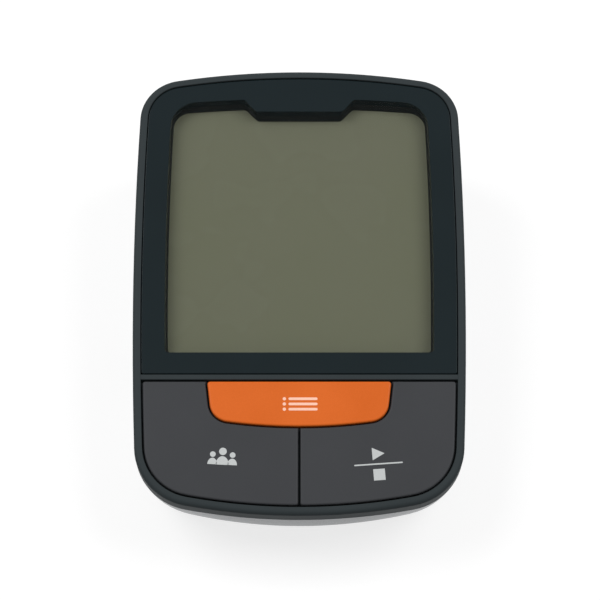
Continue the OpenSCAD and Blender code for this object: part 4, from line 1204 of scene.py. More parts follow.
@dataclass
class Window(Part):
    """The clear window with its print and tape, and the display under it.

    Attributes:
        front: Front edge of the plate.
        corner: Radius of its front corners.
        gap: Gap round the plate.
        edge: Radius of its upper edge.
        tape_in: How far the tape lies inside the plate's outline.
        tape_wide: How much wider the tape's opening is than the border's.
        blank: A rectangle that covers the whole opening.
        display_half: Half the width of the room for the display.
        display_rear: Rear side of that room.
        display_front: Front side of that room.
        frame_half: Half the frame's width.
        frame_rear: Rear side of the frame.
        frame_front: Front side of the frame.
        frame_gap: Gap between the frame and the deck.
        lining: Thickness of the frame's slanted walls in the deck's opening.
    """

    front: float = -28.4
    corner: float = 0.8
    gap: float = 0.15
    edge: float = 0.3
    tape_in: float = 0.6
    tape_wide: float = 0.8
    blank: tuple[float, float, float, float] = (-45, -28, 45, 66)
    display_half: float = 41.35
    display_rear: float = 61.4
    display_front: float = -21.25
    frame_half: float = 42.25
    frame_rear: float = 62.3
    frame_front: float = -22.1
    frame_gap: float = 0.15
    lining: float = 0.35

    def edges(self) -> list[Edge]:
        """Outline of the clear plate, before its gap.

        Returns:
            The edges, in order.
        """
        right, rear, left, _ = LAYOUT.face
        return [
            right, rear, Edge(left.x, left.y, left.r, self.corner, 12),
            line(270, -self.front, self.corner),
        ]

    def filling(self, name: str, low: float, high: float, gap: float) -> Piece:
        """A layer that fills the clear opening, but for a gap.

        Args:
            name: Name of the piece.
            low: Its lower level.
            high: Its upper level.
            gap: The gap round it.

        Returns:
            The layer.
        """
        layer = slab(name, rectangle(*self.blank), low, high, LAYOUT.on_face)
        return work(layer, How.KEEP, Opening.tool(low, high, -gap))

    def pane(self) -> Piece:
        """The clear part of the plate, inside its printed border."""
        return self.filling("window_pane", LAYOUT.lens_floor, LAYOUT.lens_top, 0.02)

    def polariser(self) -> Piece:
        """The display's front layer, which fills the frame's opening."""
        return self.filling("display_polariser", LAYOUT.glass_top, LAYOUT.shown, 0.08)

    def border(self) -> Piece:
        """The plate's black border, down to the tape, with its upper edge rounded.

        Returns:
            The border.
        """
        l = LAYOUT
        profile = rounded(self.gap, l.film_floor, l.lens_top, self.edge, 4)
        border = moulded("printed_border", self.edges(), profile, l.on_face)
        return work(border, How.CUT, Opening.tool(l.film_floor, l.lens_top, 0))

    def tape(self) -> Piece:
        """The tape under the border.

        Returns:
            The tape.
        """
        l = LAYOUT
        profile = [(self.tape_in, l.deck_top), (self.tape_in, l.film_floor)]
        tape = moulded("border_tape", self.edges(), profile, l.on_face)
        return work(tape, How.CUT, Opening.tool(l.deck_top, l.film_floor, self.tape_wide))

    def bezel(self) -> Piece:
        """The black frame that holds the display, with slanted walls up through the deck.

        Returns:
            The frame.
        """
        l = LAYOUT
        top, upper = l.deck_floor - self.frame_gap, l.film_floor - 0.03
        half, rear, front = self.display_half, self.display_rear, self.display_front
        wide = self.frame_half
        sides = ((0, wide), (90, self.frame_rear), (180, wide), (270, -self.frame_front))
        outer = [line(a, far, 2) for a, far in sides]
        frame = moulded("display_bezel", outer, [(0, l.board_top), (0, top)], l.on_face)
        glass = rectangle(-half, front, half, rear)
        lid = top - PAST
        work(frame, How.CUT, slab("tool", glass, l.board_top - PAST, lid, l.on_face))
        plug = Opening.tool(top, upper, self.lining)
        work(plug, How.KEEP, slab("tool", rectangle(*self.blank), top - 0.2, upper, l.on_face))
        work(frame, How.FUSE, plug)
        return work(frame, How.CUT, Opening.tool(lid, upper, -0.03))

    def build(self) -> None:
        """Builds the window and dresses what lies below it."""
        self.hand_in(smooth(self.pane()), WINDOW_CLEAR, "root", "display_window")
        self.hand_in(smooth(self.border()), WINDOW_PRINT, "root", "window_border")
        self.hand_in(smooth(self.tape()), TAPE, "root", "window_tape")
        self.hand_in(smooth(self.bezel()), FRAME_BLACK, "root", "display_frame")
        self.dress(DISPLAY_GLASS, "display_panel")
        self.hand_in(smooth(self.polariser()), DISPLAY_GLASS, "root")
        self.dress(REFLECTOR, "display_reflector")
        self.dress(RUBBER_DARK, "contact_strips")


class Key(Enum):
    """The three keys."""

    MEMORY = "memory"
    USER = "user"
    START = "start"


@dataclass
class Keys(Part):
    """The three keys with their stems and hooks, the switch plungers and the printed marks.

    Attributes:
        top: Level of the caps' tops.
        floor: Level of their lower sides.
        edge: Radius of their upper edges.
        corner: Radius of their plain corners.
        rear: Rear edge of the caps.
        memory_front: Front edge of the memory key on the middle line.
        memory_half: Half its width at the rear edge.
        memory_slant: Slant of its sides, in degrees.
        memory_corner: Radius of its front corners.
        stem_r: Radius of the stems.
        stem_low: Level of their lower ends.
        hook_half: Half a hook's thickness.
        hook_wide: Half its width.
        hook_out: How far its tooth reaches out.
        hook_drop: Height of its tooth.
    """

    top: float = -0.05
    floor: float = -1.95
    edge: float = 0.6
    corner: float = 0.8
    rear: float = -30.7
    memory_front: float = -44.5
    memory_half: float = 27.3
    memory_slant: float = 7.0
    memory_corner: float = 6.0
    stem_r: float = 2.5
    stem_low: float = -5.6
    hook_half: float = 0.6
    hook_wide: float = 1.5
    hook_out: float = 1.3
    hook_drop: float = 1.4

    def memory_edges(self) -> list[Edge]:
        """Outline of the memory key.

        Returns:
            The edges, in order.
        """
        front = LAYOUT.face[3]
        slant = math.radians(self.memory_slant)
        dist = self.memory_half * math.cos(slant) - self.rear * math.sin(slant)
        return [
            line(-self.memory_slant, dist, self.corner),
            line(90, self.rear, self.corner),
            line(180 + self.memory_slant, dist, self.memory_corner),
            Edge(front.x, front.y, front.y - self.memory_front, self.memory_corner, 24),
        ]

    def side_edges(self) -> list[Edge]:
        """Outline of the right key before the memory key's room is taken out.

        Returns:
            The edges, in order.
        """
        right, _, _, front = LAYOUT.face
        gap = LAYOUT.key_gap
        return [
            Edge(right.x, right.y, right.r - gap, self.corner, 8),
            line(90, self.rear, self.corner),
            line(180, -gap / 2, self.corner),
            Edge(front.x, front.y, front.r - gap, LAYOUT.front_corner - gap, 24),
        ]

    def memory_room(self) -> Piece:
        """The tool that takes the memory key's room out of its neighbours, flared at the top.

        Returns:
            The tool.
        """
        gap, r = LAYOUT.key_gap, self.edge
        flare = [(-gap, self.floor - PAST)]
        for k in range(7):
            a = math.pi / 2 * k / 6
            flare.append((-gap - r * (1 - math.cos(a)), self.top + r * (math.sin(a) - 1)))
        flare.append((-gap - r, PAST))
        return moulded("tool", self.memory_edges(), flare, LAYOUT.on_face)

    def legs(self, cap: Piece, u: float, v: float) -> Piece:
        """Fuses the stem and the two hooks to a cap.

        Args:
            cap: The cap.
            u: The stem's place across the face.
            v: The stem's place up the face.

        Returns:
            The same cap.
        """
        l = LAYOUT
        catch, root, soft = l.deck_floor - 0.06, self.floor + 0.2, 0.2
        low, r = self.stem_low, self.stem_r
        stem = upright(u, v, l.on_face).turned("leg", [(low, r - soft), (low + soft, r), (root, r)])
        work(cap, How.FUSE, stem)
        for side in (-1, 1):
            x, half, tip = u + l.hook_u * side, self.hook_half * side, catch - self.hook_drop
            section = [
                (x - half, tip + soft), (x, tip), (x + side * self.hook_out, catch),
                (x + half, catch), (x + half, root), (x - half, root),
            ]
            ends = (v - self.hook_wide, v + self.hook_wide)
            work(cap, How.FUSE, shell("leg", [[l.on_face(a, b, w) for a, w in section] for b in ends]))
        return cap

    def cap(self, key: Key) -> Piece:
        """The cap of a key, with its upper edges rounded.

        Args:
            key: The key.

        Returns:
            The cap.
        """
        profile = rounded(0, self.floor, self.top, self.edge, 6)
        place = LAYOUT.on_face
        if key is Key.MEMORY:
            return moulded("memory_cap", self.memory_edges(), profile, place)
        if key is Key.USER:
            cap = moulded("user_cap", self.side_edges(), profile, lambda u, v, w: place(-u, v, w))
        else:
            cap = moulded("start_cap", self.side_edges(), profile, place)
        return work(cap, How.CUT, self.memory_room())

    def build(self) -> None:
        """Builds the keys and their marks."""
        looks = {Key.MEMORY: KEY_ORANGE, Key.USER: KEY_DARK, Key.START: KEY_DARK}
        for key, look in looks.items():
            cap = smooth(self.legs(self.cap(key), *LAYOUT.stems[key.value]))
            self.hand_in(cap, look, f"{key.value}_button", f"{key.value}_key")
            self.dress(BLACK_PLASTIC, f"{key.value}_plunger")
        marks = Marks(self.frame, level=self.top)
        marks.build()
        self.made += marks.made


@dataclass
class Marks(Part):
    """The plain printed symbols on the keys: a list, three figures, and start over stop.

    Attributes:
        level: Level of the caps' tops.
        thick: Thickness of the print above them.
        memory_at: Middle of the memory key's mark.
        user_at: Middle of the user key's mark.
        start_at: Middle of the start key's mark.
        user_turn: How far the user key's mark is turned, in degrees.
        start_turn: How far the start key's mark is turned.
        row: Distance of the list's rows.
        tall: Size of the middle figure.
        small: Size of the figures beside it.
    """

    level: float = -0.05
    thick: float = 0.03
    memory_at: Point = (0.2, -37.75)
    user_at: Point = (-22.4, -54.2)
    start_at: Point = (23.1, -56.0)
    user_turn: float = -3.0
    start_turn: float = 4.0
    row: float = 1.6
    tall: float = 5.6
    small: float = 4.2

    def print_on(self, name: str, shapes: Sequence[Sequence[Point]], at: Point, turn: float) -> Piece:
        """Lays a print of several closed shapes on a key.

        Args:
            name: Name of the print.
            shapes: The shapes, about the middle of the print.
            at: Where the middle lies on the face.
            turn: How far the print is turned, in degrees.

        Returns:
            The print.
        """
        c, s = math.cos(math.radians(turn)), math.sin(math.radians(turn))

        def place(x: float, y: float, w: float) -> Vector:
            """From the print's own places to real ones."""
            return LAYOUT.on_face(at[0] + x * c - y * s, at[1] + x * s + y * c, w)

        low, high = self.level - 0.02, self.level + self.thick
        return joined(name, [slab("print", shape, low, high, place) for shape in shapes])

    def bar(self, x: float, y: float, length: float, height: float) -> list[Point]:
        """A bar with round ends.

        Args:
            x: Its middle across.
            y: Its middle along.
            length: Its length.
            height: Its height.

        Returns:
            Its outline.
        """
        r, half = height / 2, length / 2 - height / 2
        turns = [math.pi * k / 8 for k in range(9)]
        right = [(x + half + r * math.sin(a), y - r * math.cos(a)) for a in turns]
        left = [(x - half - r * math.sin(a), y + r * math.cos(a)) for a in turns]
        return right + left

    def figure(self, x: float, y: float, size: float) -> list[list[Point]]:
        """A plain figure: a head over a domed body.

        Args:
            x: Its middle across.
            y: Its middle along.
            size: Its height, more or less.

        Returns:
            The outlines of the head and the body.
        """
        head = disc(x, y + 0.30 * size, 0.20 * size, 28)
        wide, tall, foot = 0.34 * size, 0.46 * size, y - 0.42 * size
        turns = [math.pi * k / 20 for k in range(21)]
        return [head, [(x + wide * math.cos(a), foot + tall * math.sin(a)) for a in turns]]

    def build(self) -> None:
        """Prints the three marks."""
        rows = []
        for y in (-self.row, 0, self.row):
            rows += [disc(-4.6, y, 0.5, 24), self.bar(0.9, y, 8.6, 0.8)]
        self.hand_in(self.print_on("memory_mark", rows, self.memory_at, 0), MARK_WARM, "memory_button")
        people = self.figure(0, 0.3, self.tall)
        for x in (-2.9, 2.9):
            people += self.figure(x, -0.25, self.small)
        mark = self.print_on("user_mark", people, self.user_at, self.user_turn)
        self.hand_in(mark, MARK_PALE, "user_button")
        play, stop = [(-1.6, 1.2), (2.0, 3.1), (-1.6, 5.0)], rectangle(-1.7, -4.9, 1.7, -1.5)
        shapes = [play, self.bar(0, 0, 14.2, 0.42), stop]
        mark = self.print_on("start_mark", shapes, self.start_at, self.start_turn)
        self.hand_in(mark, MARK_PALE, "start_button")


@dataclass
class LowerHousing(Part):
    """The silver lower housing with its battery bay, cover and feet.

    Attributes:
        steps: Number of rings between the underside and the seam.
        bulge: How the rings crowd towards the underside.
        seam_gap: Gap under the dark wall.
        belly_z: Height of the widest part, towards which the skin bends.
        belly_half: Half the width there.
        belly_rear: Rear edge there.
        belly_corner: Radius of the front corners there.
        nose_front: Front edge there, on the middle line.
        nose_r: Radius of that edge.
        base_half: Half the underside's width.
        base_front: Front edge of the underside.
        base_rear: Rear edge of the underside.
        base_corner: Radius of its front corners.
        rear_corner: Radius of the rear corners of both.
        cover_half: Half the cover's width between its tongues.
        cover_front: Front end of the cover.
        cover_top: Upper side of the cover.
        cover_gap: Gap round the cover.
        tongue: How far its tongues reach out.
        tongue_low: Lower side of the tongues.
        run_out: How far to the rear its slot is cut.
        catch: Half the width of its front tongue.
        grooves: Number of grip grooves.
        groove_pitch: Distance from groove to groove.
        groove_half: Half their length.
        stand: Level inside the floor from which all that stands on it rises.
        bay_front: Front side of the bay's frame.
        bay_rear: Rear side of the bay.
        bay_half: Half the width of its frame.
        bay_narrow: Half the width of its walls outside.
        bay_inner: Front side of its walls outside.
        bay_step: Upper side of its frame.
        bay_roof: Lower side of its roof.
        roof_thick: Thickness of the roof.
        room_half: Half the width of the room for the cells.
        room_front: Front side of that room.
        room_rear: Rear side of that room.
        slot_x: How far the slots for the contacts stand from the middle.
        slot_half: Half their width.
        screw_bore: Radius of the screw holes.
        screw_seat: How far below the bosses' meeting the screws' heads sit.
        thread_bore: Radius of their upper ends.
        foot: Place of one of the front feet.
        rear_foot: Place of the rear feet along the table.
        foot_r: Radius of a foot.
        air_hole: Radius of the hole for the air socket.
        jack_hole: Radius of the hole for the power jack.
        lip_in: How far the lip stands outside the face's outline.
        lip_thick: Thickness of the lip.
        lip_top: Its upper level.
        lip_root: Its lower level.
    """

    steps: int = 22
    bulge: float = 1.4
    seam_gap: float = 0.12
    belly_z: float = 4.5
    belly_half: float = 50.2
    belly_rear: float = 70.88
    belly_corner: float = 24.0
    nose_front: float = -68.63
    nose_r: float = 110.0
    base_half: float = 48.0
    base_front: float = -56.73
    base_rear: float = 64.38
    base_corner: float = 18.0
    rear_corner: float = 13.4
    cover_half: float = 31.0
    cover_front: float = 4.8
    cover_top: float = 3.3
    cover_gap: float = 0.15
    tongue: float = 1.4
    tongue_low: float = 2.4
    run_out: float = 140.0
    catch: float = 30.85
    grooves: int = 5
    groove_pitch: float = 2.2
    groove_half: float = 9.0
    stand: float = 2.2
    bay_front: float = 1.5
    bay_rear: float = 63.8
    bay_half: float = 34.15
    bay_narrow: float = 31.6
    bay_inner: float = 5.4
    bay_step: float = 5.05
    bay_roof: float = 18.2
    roof_thick: float = 1.6
    room_half: float = 30.0
    room_front: float = 7.0
    room_rear: float = 62.5
    slot_x: float = 22.35
    slot_half: float = 1.6
    screw_bore: float = 2.05
    screw_seat: float = 4.0
    thread_bore: float = 1.25
    foot: Point = (38.5, -43.73)
    rear_foot: float = 54.38
    foot_r: float = 4.8
    air_hole: float = 5.65
    jack_hole: float = 4.15
    lip_in: float = 1.25
    lip_thick: float = 0.75
    lip_top: float = -4.9
    lip_root: float = -7.0

    def skin(self, name: str, inner: bool) -> Piece:
        """The outer skin, with or without the room inside it.

        Args:
            name: Name of the piece.
            inner: Whether the wall turns in at the seam and goes down again inside.

        Returns:
            A closed shell.
        """
        up = self.rings(0.0)
        down = list(reversed(self.rings(LAYOUT.wall))) if inner else []
        return shell(name, up + down)

    def rings(self, inset: float) -> list[list[Vector]]:
        """Rings of the skin from the underside up to the seam.

        Args:
            inset: How far they are drawn in, and the lower ones lifted.

        Returns:
            The rings, in metres.
        """
        l = LAYOUT
        low = body(self.base_half, self.base_front, self.base_rear, self.base_corner, self.rear_corner)
        right, rear, left, _ = body(
            self.belly_half, self.nose_front, self.belly_rear, self.belly_corner, self.rear_corner,
        )
        nose = Edge(0, self.nose_front + self.nose_r, self.nose_r, self.belly_corner, 24)
        wide = outline([right, rear, left, nose], inset)
        seam = [l.on_face(x, y, -l.skirt - self.seam_gap) for x, y in outline(l.face, inset - l.rim)]
        belly = [l.on_table(x, y, self.belly_z + inset) for x, y in wide]
        base = [l.on_table(x, y, l.base_z + inset) for x, y in outline(low, inset)]
        rings = []
        for k in range(self.steps + 1):
            t = (k / self.steps) ** self.bulge
            s = 1 - t
            rings.append([t * t * a + 2 * t * s * b + s * s * c for a, b, c in zip(seam, belly, base)])
        return rings

    def block(self, x0: float, y0: float, z0: float, x1: float, y1: float, z1: float) -> Piece:
        """A block over the table."""
        return slab("tool", rectangle(x0, y0, x1, y1), z0, z1, LAYOUT.on_table)

    def channel(self, gap: float) -> Piece:
        """The section of the cover, pushed from its front end to the rear.

        Args:
            gap: How much wider, higher and longer than the cover it is.

        Returns:
            The pushed section.
        """
        half, out = self.cover_half + gap, self.cover_half + self.tongue + gap
        low, top = self.tongue_low - gap, self.cover_top + gap
        section = [
            (-half, 0), (half, 0), (half, low), (out, low), (out, top), (-out, top), (-out, low),
            (-half, low),
        ]
        ends = (self.cover_front - gap, self.run_out)
        return shell("tool", [[LAYOUT.on_table(x, y, z) for x, z in section] for y in ends])

    def bay(self, house: Piece) -> None:
        """Adds the battery bay to the housing and opens it for the cells.

        Args:
            house: The housing.
        """
        wide, narrow, room, catch = self.bay_half, self.bay_narrow, self.room_half, self.cover_half
        step, roof, gap = self.bay_step, self.bay_roof, self.cover_gap
        frame = self.block(-wide, self.bay_front, self.stand, wide, self.bay_rear, step)
        top = roof + self.roof_thick
        walls = self.block(-narrow, self.bay_inner, step - 0.05, narrow, self.bay_rear, top)
        work(house, How.FUSE, frame, walls)
        work(house, How.CUT, self.block(-room, self.room_front, 0.2, room, self.room_rear, roof))
        work(house, How.CUT, self.channel(gap))
        low, high = self.tongue_low - gap, self.cover_top + gap
        work(house, How.CUT, self.block(-catch, 3.1, low, catch, 4.9, high))
        for x in (-self.slot_x, self.slot_x):
            x0, x1 = x - self.slot_half, x + self.slot_half
            slot = self.block(x0, self.room_front, roof - PAST, x1, self.room_front + 0.5, 30)
            work(house, How.CUT, slot)

    def saddle(self, x: float, depth: float, r: float) -> Piece:
        """A saddle for a round piece on the pump's axis.

        Args:
            x: Where its left side stands.
            depth: Its thickness.
            r: Radius of the round piece.

        Returns:
            The saddle.
        """
        y, z, side = LAYOUT.air_y, LAYOUT.air_z, 2
        axis = level_axis(LAYOUT.on_table(x - PAST, y, z))
        saddle = self.block(x, y - r - side, self.stand, x + depth, y + r + side, z)
        return work(saddle, How.CUT, axis.rod(0, depth + 2 * PAST, r + 0.1))

    def openings(self, house: Piece) -> None:
        """Cuts the screw holes, the foot recesses and the holes of the socket and the jack.

        Args:
            house: The housing.
        """
        l = LAYOUT
        for x, y in l.screws:
            top = l.level(y, -l.skirt) - l.boss_drop
            seat, wide, narrow = top - self.screw_seat, self.screw_bore, self.thread_bore
            bore = [(0, wide), (seat, wide), (seat, narrow), (top + PAST, narrow)]
            work(house, How.CUT, upright(x, y, l.on_table).turned("tool", bore, count=36))
        for x, y in self.feet_at():
            recess = upright(x, y, l.on_table).rod(0, l.base_z + 0.6, self.foot_r + 0.15)
            work(house, How.CUT, recess)
        air = level_axis(l.on_table(-60, l.air_y, l.air_z))
        jack = level_axis(l.on_face(0, l.jack_v, l.jack_w))
        work(house, How.CUT, air.rod(0, 60, self.air_hole), jack.rod(0, 60, self.jack_hole))

    def feet_at(self) -> list[Point]:
        """Where the feet stand."""
        x, front = self.foot
        return [(side, y) for y in (front, self.rear_foot) for side in (-x, x)]

    def house(self) -> Piece:
        """The whole lower housing.

        Returns:
            The housing.
        """
        l = LAYOUT
        house = self.skin("lower_shell", True)
        outer, inner = -self.lip_in, -self.lip_in + self.lip_thick
        low, top = self.lip_root, self.lip_top
        lip = [(outer, low), (outer, top), (inner, top), (inner, low)]
        work(house, How.FUSE, moulded("lip", l.face, lip, l.on_face, hoop=True))
        self.bay(house)
        for x, y in l.screws:
            top = l.level(y, -l.skirt) - l.boss_drop - 0.1
            work(house, How.FUSE, upright(x, y, l.on_table).rod(2.7, top, l.boss_r, 36))
        for x, depth, r in ((6.0, 5.0, 10.1), (20.0, 5.0, 10.1), (-45.0, 2.0, 5.5)):
            work(house, How.FUSE, self.saddle(x, depth, r))
        self.openings(house)
        return house

    def cover(self) -> Piece:
        """The sliding battery cover with its grip.

        Returns:
            The cover.
        """
        l = LAYOUT
        low, top, half = self.tongue_low, self.cover_top, self.groove_half
        cover = work(self.skin("battery_lid", False), How.KEEP, self.channel(0.0))
        work(cover, How.FUSE, self.block(-self.catch, 3.4, low, self.catch, 5.8, top))
        for k in range(self.grooves):
            y = self.base_rear - 9 - self.groove_pitch * k
            groove = [(1.0, 0.9), (1.0, 1.2), (0.75, 1.5), (0.5, 1.65), (0.25, 1.5), (0, 1.2), (0, 0.9)]
            rings = [[l.on_table(x, y + b, z) for b, z in groove] for x in (-half, half)]
            work(cover, How.CUT, shell("tool", rings))
        return cover

    def feet(self) -> Piece:
        """The four rubber feet, with rounded lower edges.

        Returns:
            The feet, as one piece.
        """
        r = self.foot_r
        profile = [(0.0, r - 0.5), (0.08, r - 0.28), (0.22, r - 0.12), (0.5, r), (1.8, r)]
        feet = [upright(x, y, LAYOUT.on_table).turned("foot", profile) for x, y in self.feet_at()]
        return joined("feet_pads", feet)

    def build(self) -> None:
        """Builds the lower housing, its cover and its feet."""
        self.hand_in(smooth(self.house()), HOUSING_SILVER, "root", "lower_housing")
        self.hand_in(smooth(self.cover()), HOUSING_SILVER, "cover", "battery_cover")
        self.hand_in(smooth(self.feet()), RUBBER_DARK, "root", "rubber_feet")


@dataclass
class Inlets(Part):
    """The air socket in the left wall and the power jack in the right one.

    Attributes:
        nozzle: Length of the socket's nozzle.
        collar: Radius of the socket's body.
        flange: Radius of its flange.
        flange_x: Outer side of the flange, from the middle.
        bore: Radius of the bore for the cuff's plug.
        bore_deep: Depth of that bore.
        air_bore: Radius of the air's way.
        jack_bore: Radius of the jack's opening.
        jack_r: Radius of its collar.
        jack_wall: Outer side of its body.
        jack_long: Length of its body.
    """

    nozzle: float = 4.0
    collar: float = 5.5
    flange: float = 7.1
    flange_x: float = 44.35
    bore: float = 3.3
    bore_deep: float = 8.0
    air_bore: float = 0.8
    jack_bore: float = 2.75
    jack_r: float = 4.0
    jack_wall: float = 44.2
    jack_long: float = 14.0

    def socket(self) -> Piece:
        """The air socket: nozzle, flange, collar and bore, with rounded lips.

        Returns:
            The socket.
        """
        axis = level_axis(LAYOUT.on_table(0, LAYOUT.air_y, LAYOUT.air_z), -1)
        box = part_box("air_socket")
        face, tip = -box[0].x / MM, -box[1].x / MM
        neck, deep = tip + self.nozzle, face - self.bore_deep
        outer, inner, wide, soft = self.flange_x, self.flange_x - 1.6, self.flange, 0.2
        profile = [
            (tip, self.air_bore), (tip, 1.4), (tip + 0.25, 1.6), (neck, 1.6), (neck, self.collar),
            (inner, self.collar), (inner, wide - soft), (inner + soft, wide), (outer - soft, wide),
            (outer, wide - soft), (outer, self.collar), (face - 0.5, self.collar), (face - 0.2, 5.4),
            (face - 0.05, 5.2), (face, 4.9), (face, 3.9), (face - 0.1, 3.6), (face - 0.3, 3.4),
            (face - 0.6, self.bore), (deep, self.bore), (deep, self.air_bore),
        ]
        return axis.turned("air_inlet", profile, hoop=True)

    def jack(self) -> Piece:
        """The power jack: a body with a round collar and its opening.

        Returns:
            The jack.
        """
        l = LAYOUT
        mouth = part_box("power_jack")[1].x / MM
        axis = level_axis(l.on_face(0, l.jack_v, l.jack_w))
        half, top = 4.5, l.board_floor
        body_at = rectangle(mouth - self.jack_long, l.jack_v - half, self.jack_wall, l.jack_v + half)
        case = soften(slab("case", body_at, top - 10.5, top, l.on_face), 0.3)
        r, wide = self.jack_bore, self.jack_r
        collar = [
            (44.0, r), (44.0, wide), (mouth - 0.4, wide), (mouth - 0.12, 3.88), (mouth, 3.6),
            (mouth, 3.1), (mouth - 0.1, 2.9), (mouth - 0.35, r),
        ]
        work(case, How.CUT, axis.rod(mouth - 9.5, mouth + 2, r))
        work(case, How.FUSE, axis.turned("collar", collar, hoop=True))
        return titled(case, "power_inlet")

    def build(self) -> None:
        """Builds both inlets."""
        self.hand_in(smooth(self.socket()), RUBBER_DARK, "root", "air_socket")
        self.hand_in(smooth(self.jack()), BLACK_PLASTIC, "root", "power_jack")
        self.dress(BRASS, "power_jack_pin")


@dataclass
class Inside(Part):
    """Everything inside the housings: board, pump, valve, hoses, cells and wires."""

    def build(self) -> None:
        """Dresses the inner solids."""
        looks: dict[Finish, tuple[str, ...]] = {
            CIRCUIT_BOARD: ("main_board",),
            BLACK_PLASTIC: ("board_chips", "sounder", "motor_end_cap", "valve_base"),
            CREAM_PLASTIC: (
                "board_connectors", "pressure_sensor", "pump_housing", "wobble_plate", "pump_cover",
                "pump_crank",
            ),
            STEEL: (
                "switch_bodies", "motor_case", "motor_rotor", "valve_frame", "valve_plunger",
                "valve_spring", "cell_springs", "cell_contacts", "board_screws", "housing_screws",
            ),
            MAGNET: ("motor_magnets",),
            RUBBER_DARK: ("pump_rings", "pump_diaphragm"),
            COPPER: ("valve_coil",),
            SILICONE: ("air_manifold", "pump_hose", "socket_hose", "valve_hose", "sensor_hose"),
            CELL_WRAP: ("cell_1", "cell_2", "cell_3", "cell_4"),
            WIRE_RED: ("battery_wires", "motor_wires"),
            WIRE_DARK: ("valve_wires",),
        }
        for look, nodes in looks.items():
            self.dress(look, *nodes)


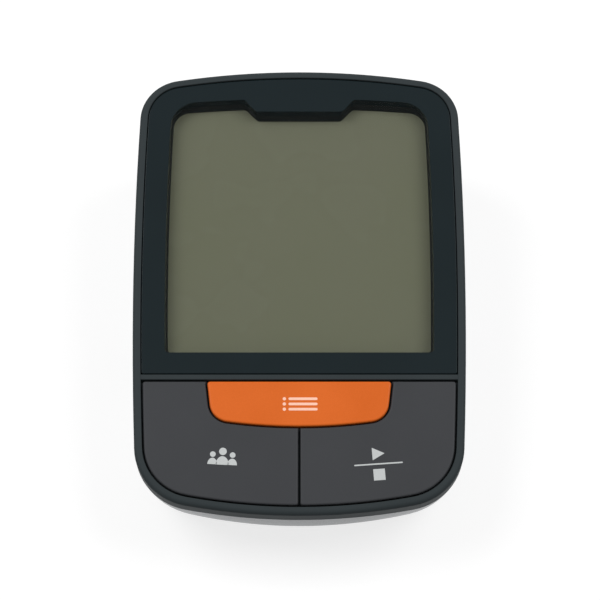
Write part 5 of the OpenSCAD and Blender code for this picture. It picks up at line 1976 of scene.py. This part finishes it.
@dataclass
class Studio:
    """The pale floor, the soft lamps, the white background and the camera.

    Attributes:
        ambient: Strength of the light all round.
        floor_grey: Lightness of the floor.
        floor_glow: How bright the floor is where it is seen.
        lamp_size: Length of the lamps' sides, in metres.
        aim_v: Where the camera looks, up the face.
        aim_x: Where it looks, across the face.
        height: How steeply it looks down, in degrees.
        distance: Its distance.
        pixels: Width of the picture.
        focal: Focal length in pixels.
    """

    ambient: float = 0.36
    floor_grey: float = 0.36
    floor_glow: float = 0.72
    lamp_size: float = 0.7
    aim_v: float = -5.17
    aim_x: float = 0.21
    height: float = 62.0
    distance: float = 600.0
    pixels: float = 600.0
    focal: float = 1999.0

    def seen_white(self, net: Net) -> bpy.types.NodeSocket:
        """One where a ray comes from the camera, a gloss or a clear piece, and zero elsewhere.

        Args:
            net: The nodes of the floor or the world.

        Returns:
            The value.
        """
        path = net.add("ShaderNodeLightPath")
        total: bpy.types.NodeSocket = path.outputs["Is Camera Ray"]
        for name in ("Is Glossy Ray", "Is Transmission Ray"):
            more = net.add("ShaderNodeMath", {0: total, 1: path.outputs[name]})
            more.operation = "MAXIMUM"
            total = more.outputs[0]
        return total

    def world(self) -> None:
        """A plain grey light all round that is seen as white."""
        world = bpy.data.worlds.new("studio")
        world.use_nodes = True
        net = Net(world.node_tree)
        level = {"Value": self.seen_white(net), "To Min": self.ambient, "To Max": 1.0}
        strength = net.add("ShaderNodeMapRange", level).outputs["Result"]
        net.fill(net.own("BACKGROUND"), {"Color": (1, 1, 1, 1), "Strength": strength})
        bpy.context.scene.world = world

    def floor_look(self) -> bpy.types.Material:
        """A grey that is seen as white, and from below not at all.

        Returns:
            The material.
        """
        look = bpy.data.materials.new("studio_floor")
        look.use_nodes = True
        net = Net(look.node_tree)
        grey = net.own("BSDF_PRINCIPLED")
        colour = (self.floor_grey, self.floor_grey, self.floor_grey, 1)
        net.fill(grey, {"Base Color": colour, "Roughness": 0.9, "Specular IOR Level": 0.0})
        level = net.add("ShaderNodeMath", {0: self.seen_white(net), 1: self.floor_glow})
        level.operation = "MULTIPLY"
        glow = net.add("ShaderNodeEmission", {"Strength": level.outputs[0]})
        both = net.add("ShaderNodeAddShader", {0: grey.outputs[0], 1: glow.outputs[0]})
        shown = net.add("ShaderNodeMixShader", {
            "Fac": net.add("ShaderNodeNewGeometry").outputs["Backfacing"],
            1: both.outputs[0],
            2: net.add("ShaderNodeBsdfTransparent").outputs[0],
        })
        net.fill(net.own("OUTPUT_MATERIAL"), {"Surface": shown.outputs[0]})
        look.cycles.emission_sampling = "NONE"
        return look

    def floor(self) -> None:
        """A pale floor that keeps the shadow and is otherwise seen as white."""
        rest()
        below = (0, 0, -0.1 * MM)
        bpy.ops.mesh.primitive_circle_add(vertices=96, radius=4.0, fill_type="NGON", location=below)
        bpy.ops.object.transform_apply(location=True, rotation=False, scale=False)
        floor = titled(bpy.context.active_object, "studio_floor")
        floor.data.materials.append(self.floor_look())

    def lamp(self, name: str, at: Point3, power: float) -> None:
        """A square soft lamp that looks at the object.

        Args:
            name: Its name.
            at: Its place in metres.
            power: Its power in watts.
        """
        data = bpy.data.lights.new(name, "AREA")
        data.shape = "SQUARE"
        data.size = self.lamp_size
        data.energy = power
        lamp = bpy.data.objects.new(name, data)
        lamp.location = at
        lamp.rotation_euler = (Vector((0, 0, 0.03)) - lamp.location).to_track_quat("-Z", "Y").to_euler()
        bpy.context.scene.collection.objects.link(lamp)

    def camera(self) -> None:
        """The camera, which looks down on the face from the front."""
        a = math.radians(self.height)
        aim = LAYOUT.on_face(self.aim_x, self.aim_v, 0)
        data = bpy.data.cameras.new("view")
        data.sensor_fit = "HORIZONTAL"
        data.angle = 2 * math.atan(self.pixels / 2 / self.focal)
        camera = bpy.data.objects.new("view", data)
        camera.location = aim + Vector((0, -math.cos(a), math.sin(a))) * self.distance * MM
        camera.rotation_euler = (math.pi / 2 - a, 0, 0)
        bpy.context.scene.collection.objects.link(camera)
        bpy.context.scene.camera = camera

    def build(self) -> None:
        """Sets up the studio."""
        bpy.context.scene.view_settings.view_transform = "Standard"
        self.world()
        self.floor()
        self.lamp("lamp_left", (-0.70, 0.25, 1.00), 6.9)
        self.lamp("lamp_right", (0.72, 0.20, 0.95), 5.8)
        self.camera()


def main() -> None:
    """Builds every sub-assembly in order, then the studio."""
    logging.basicConfig(level=logging.INFO, format="%(message)s")
    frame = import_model()
    for kind in (UpperHousing, LowerHousing, Window, Keys, Inlets, Inside):
        part = kind(frame)
        part.build()
        log.info("%s: %d new pieces", kind.__name__, len(part.made))
    Studio().build()


if __name__ == "__main__":
    main()
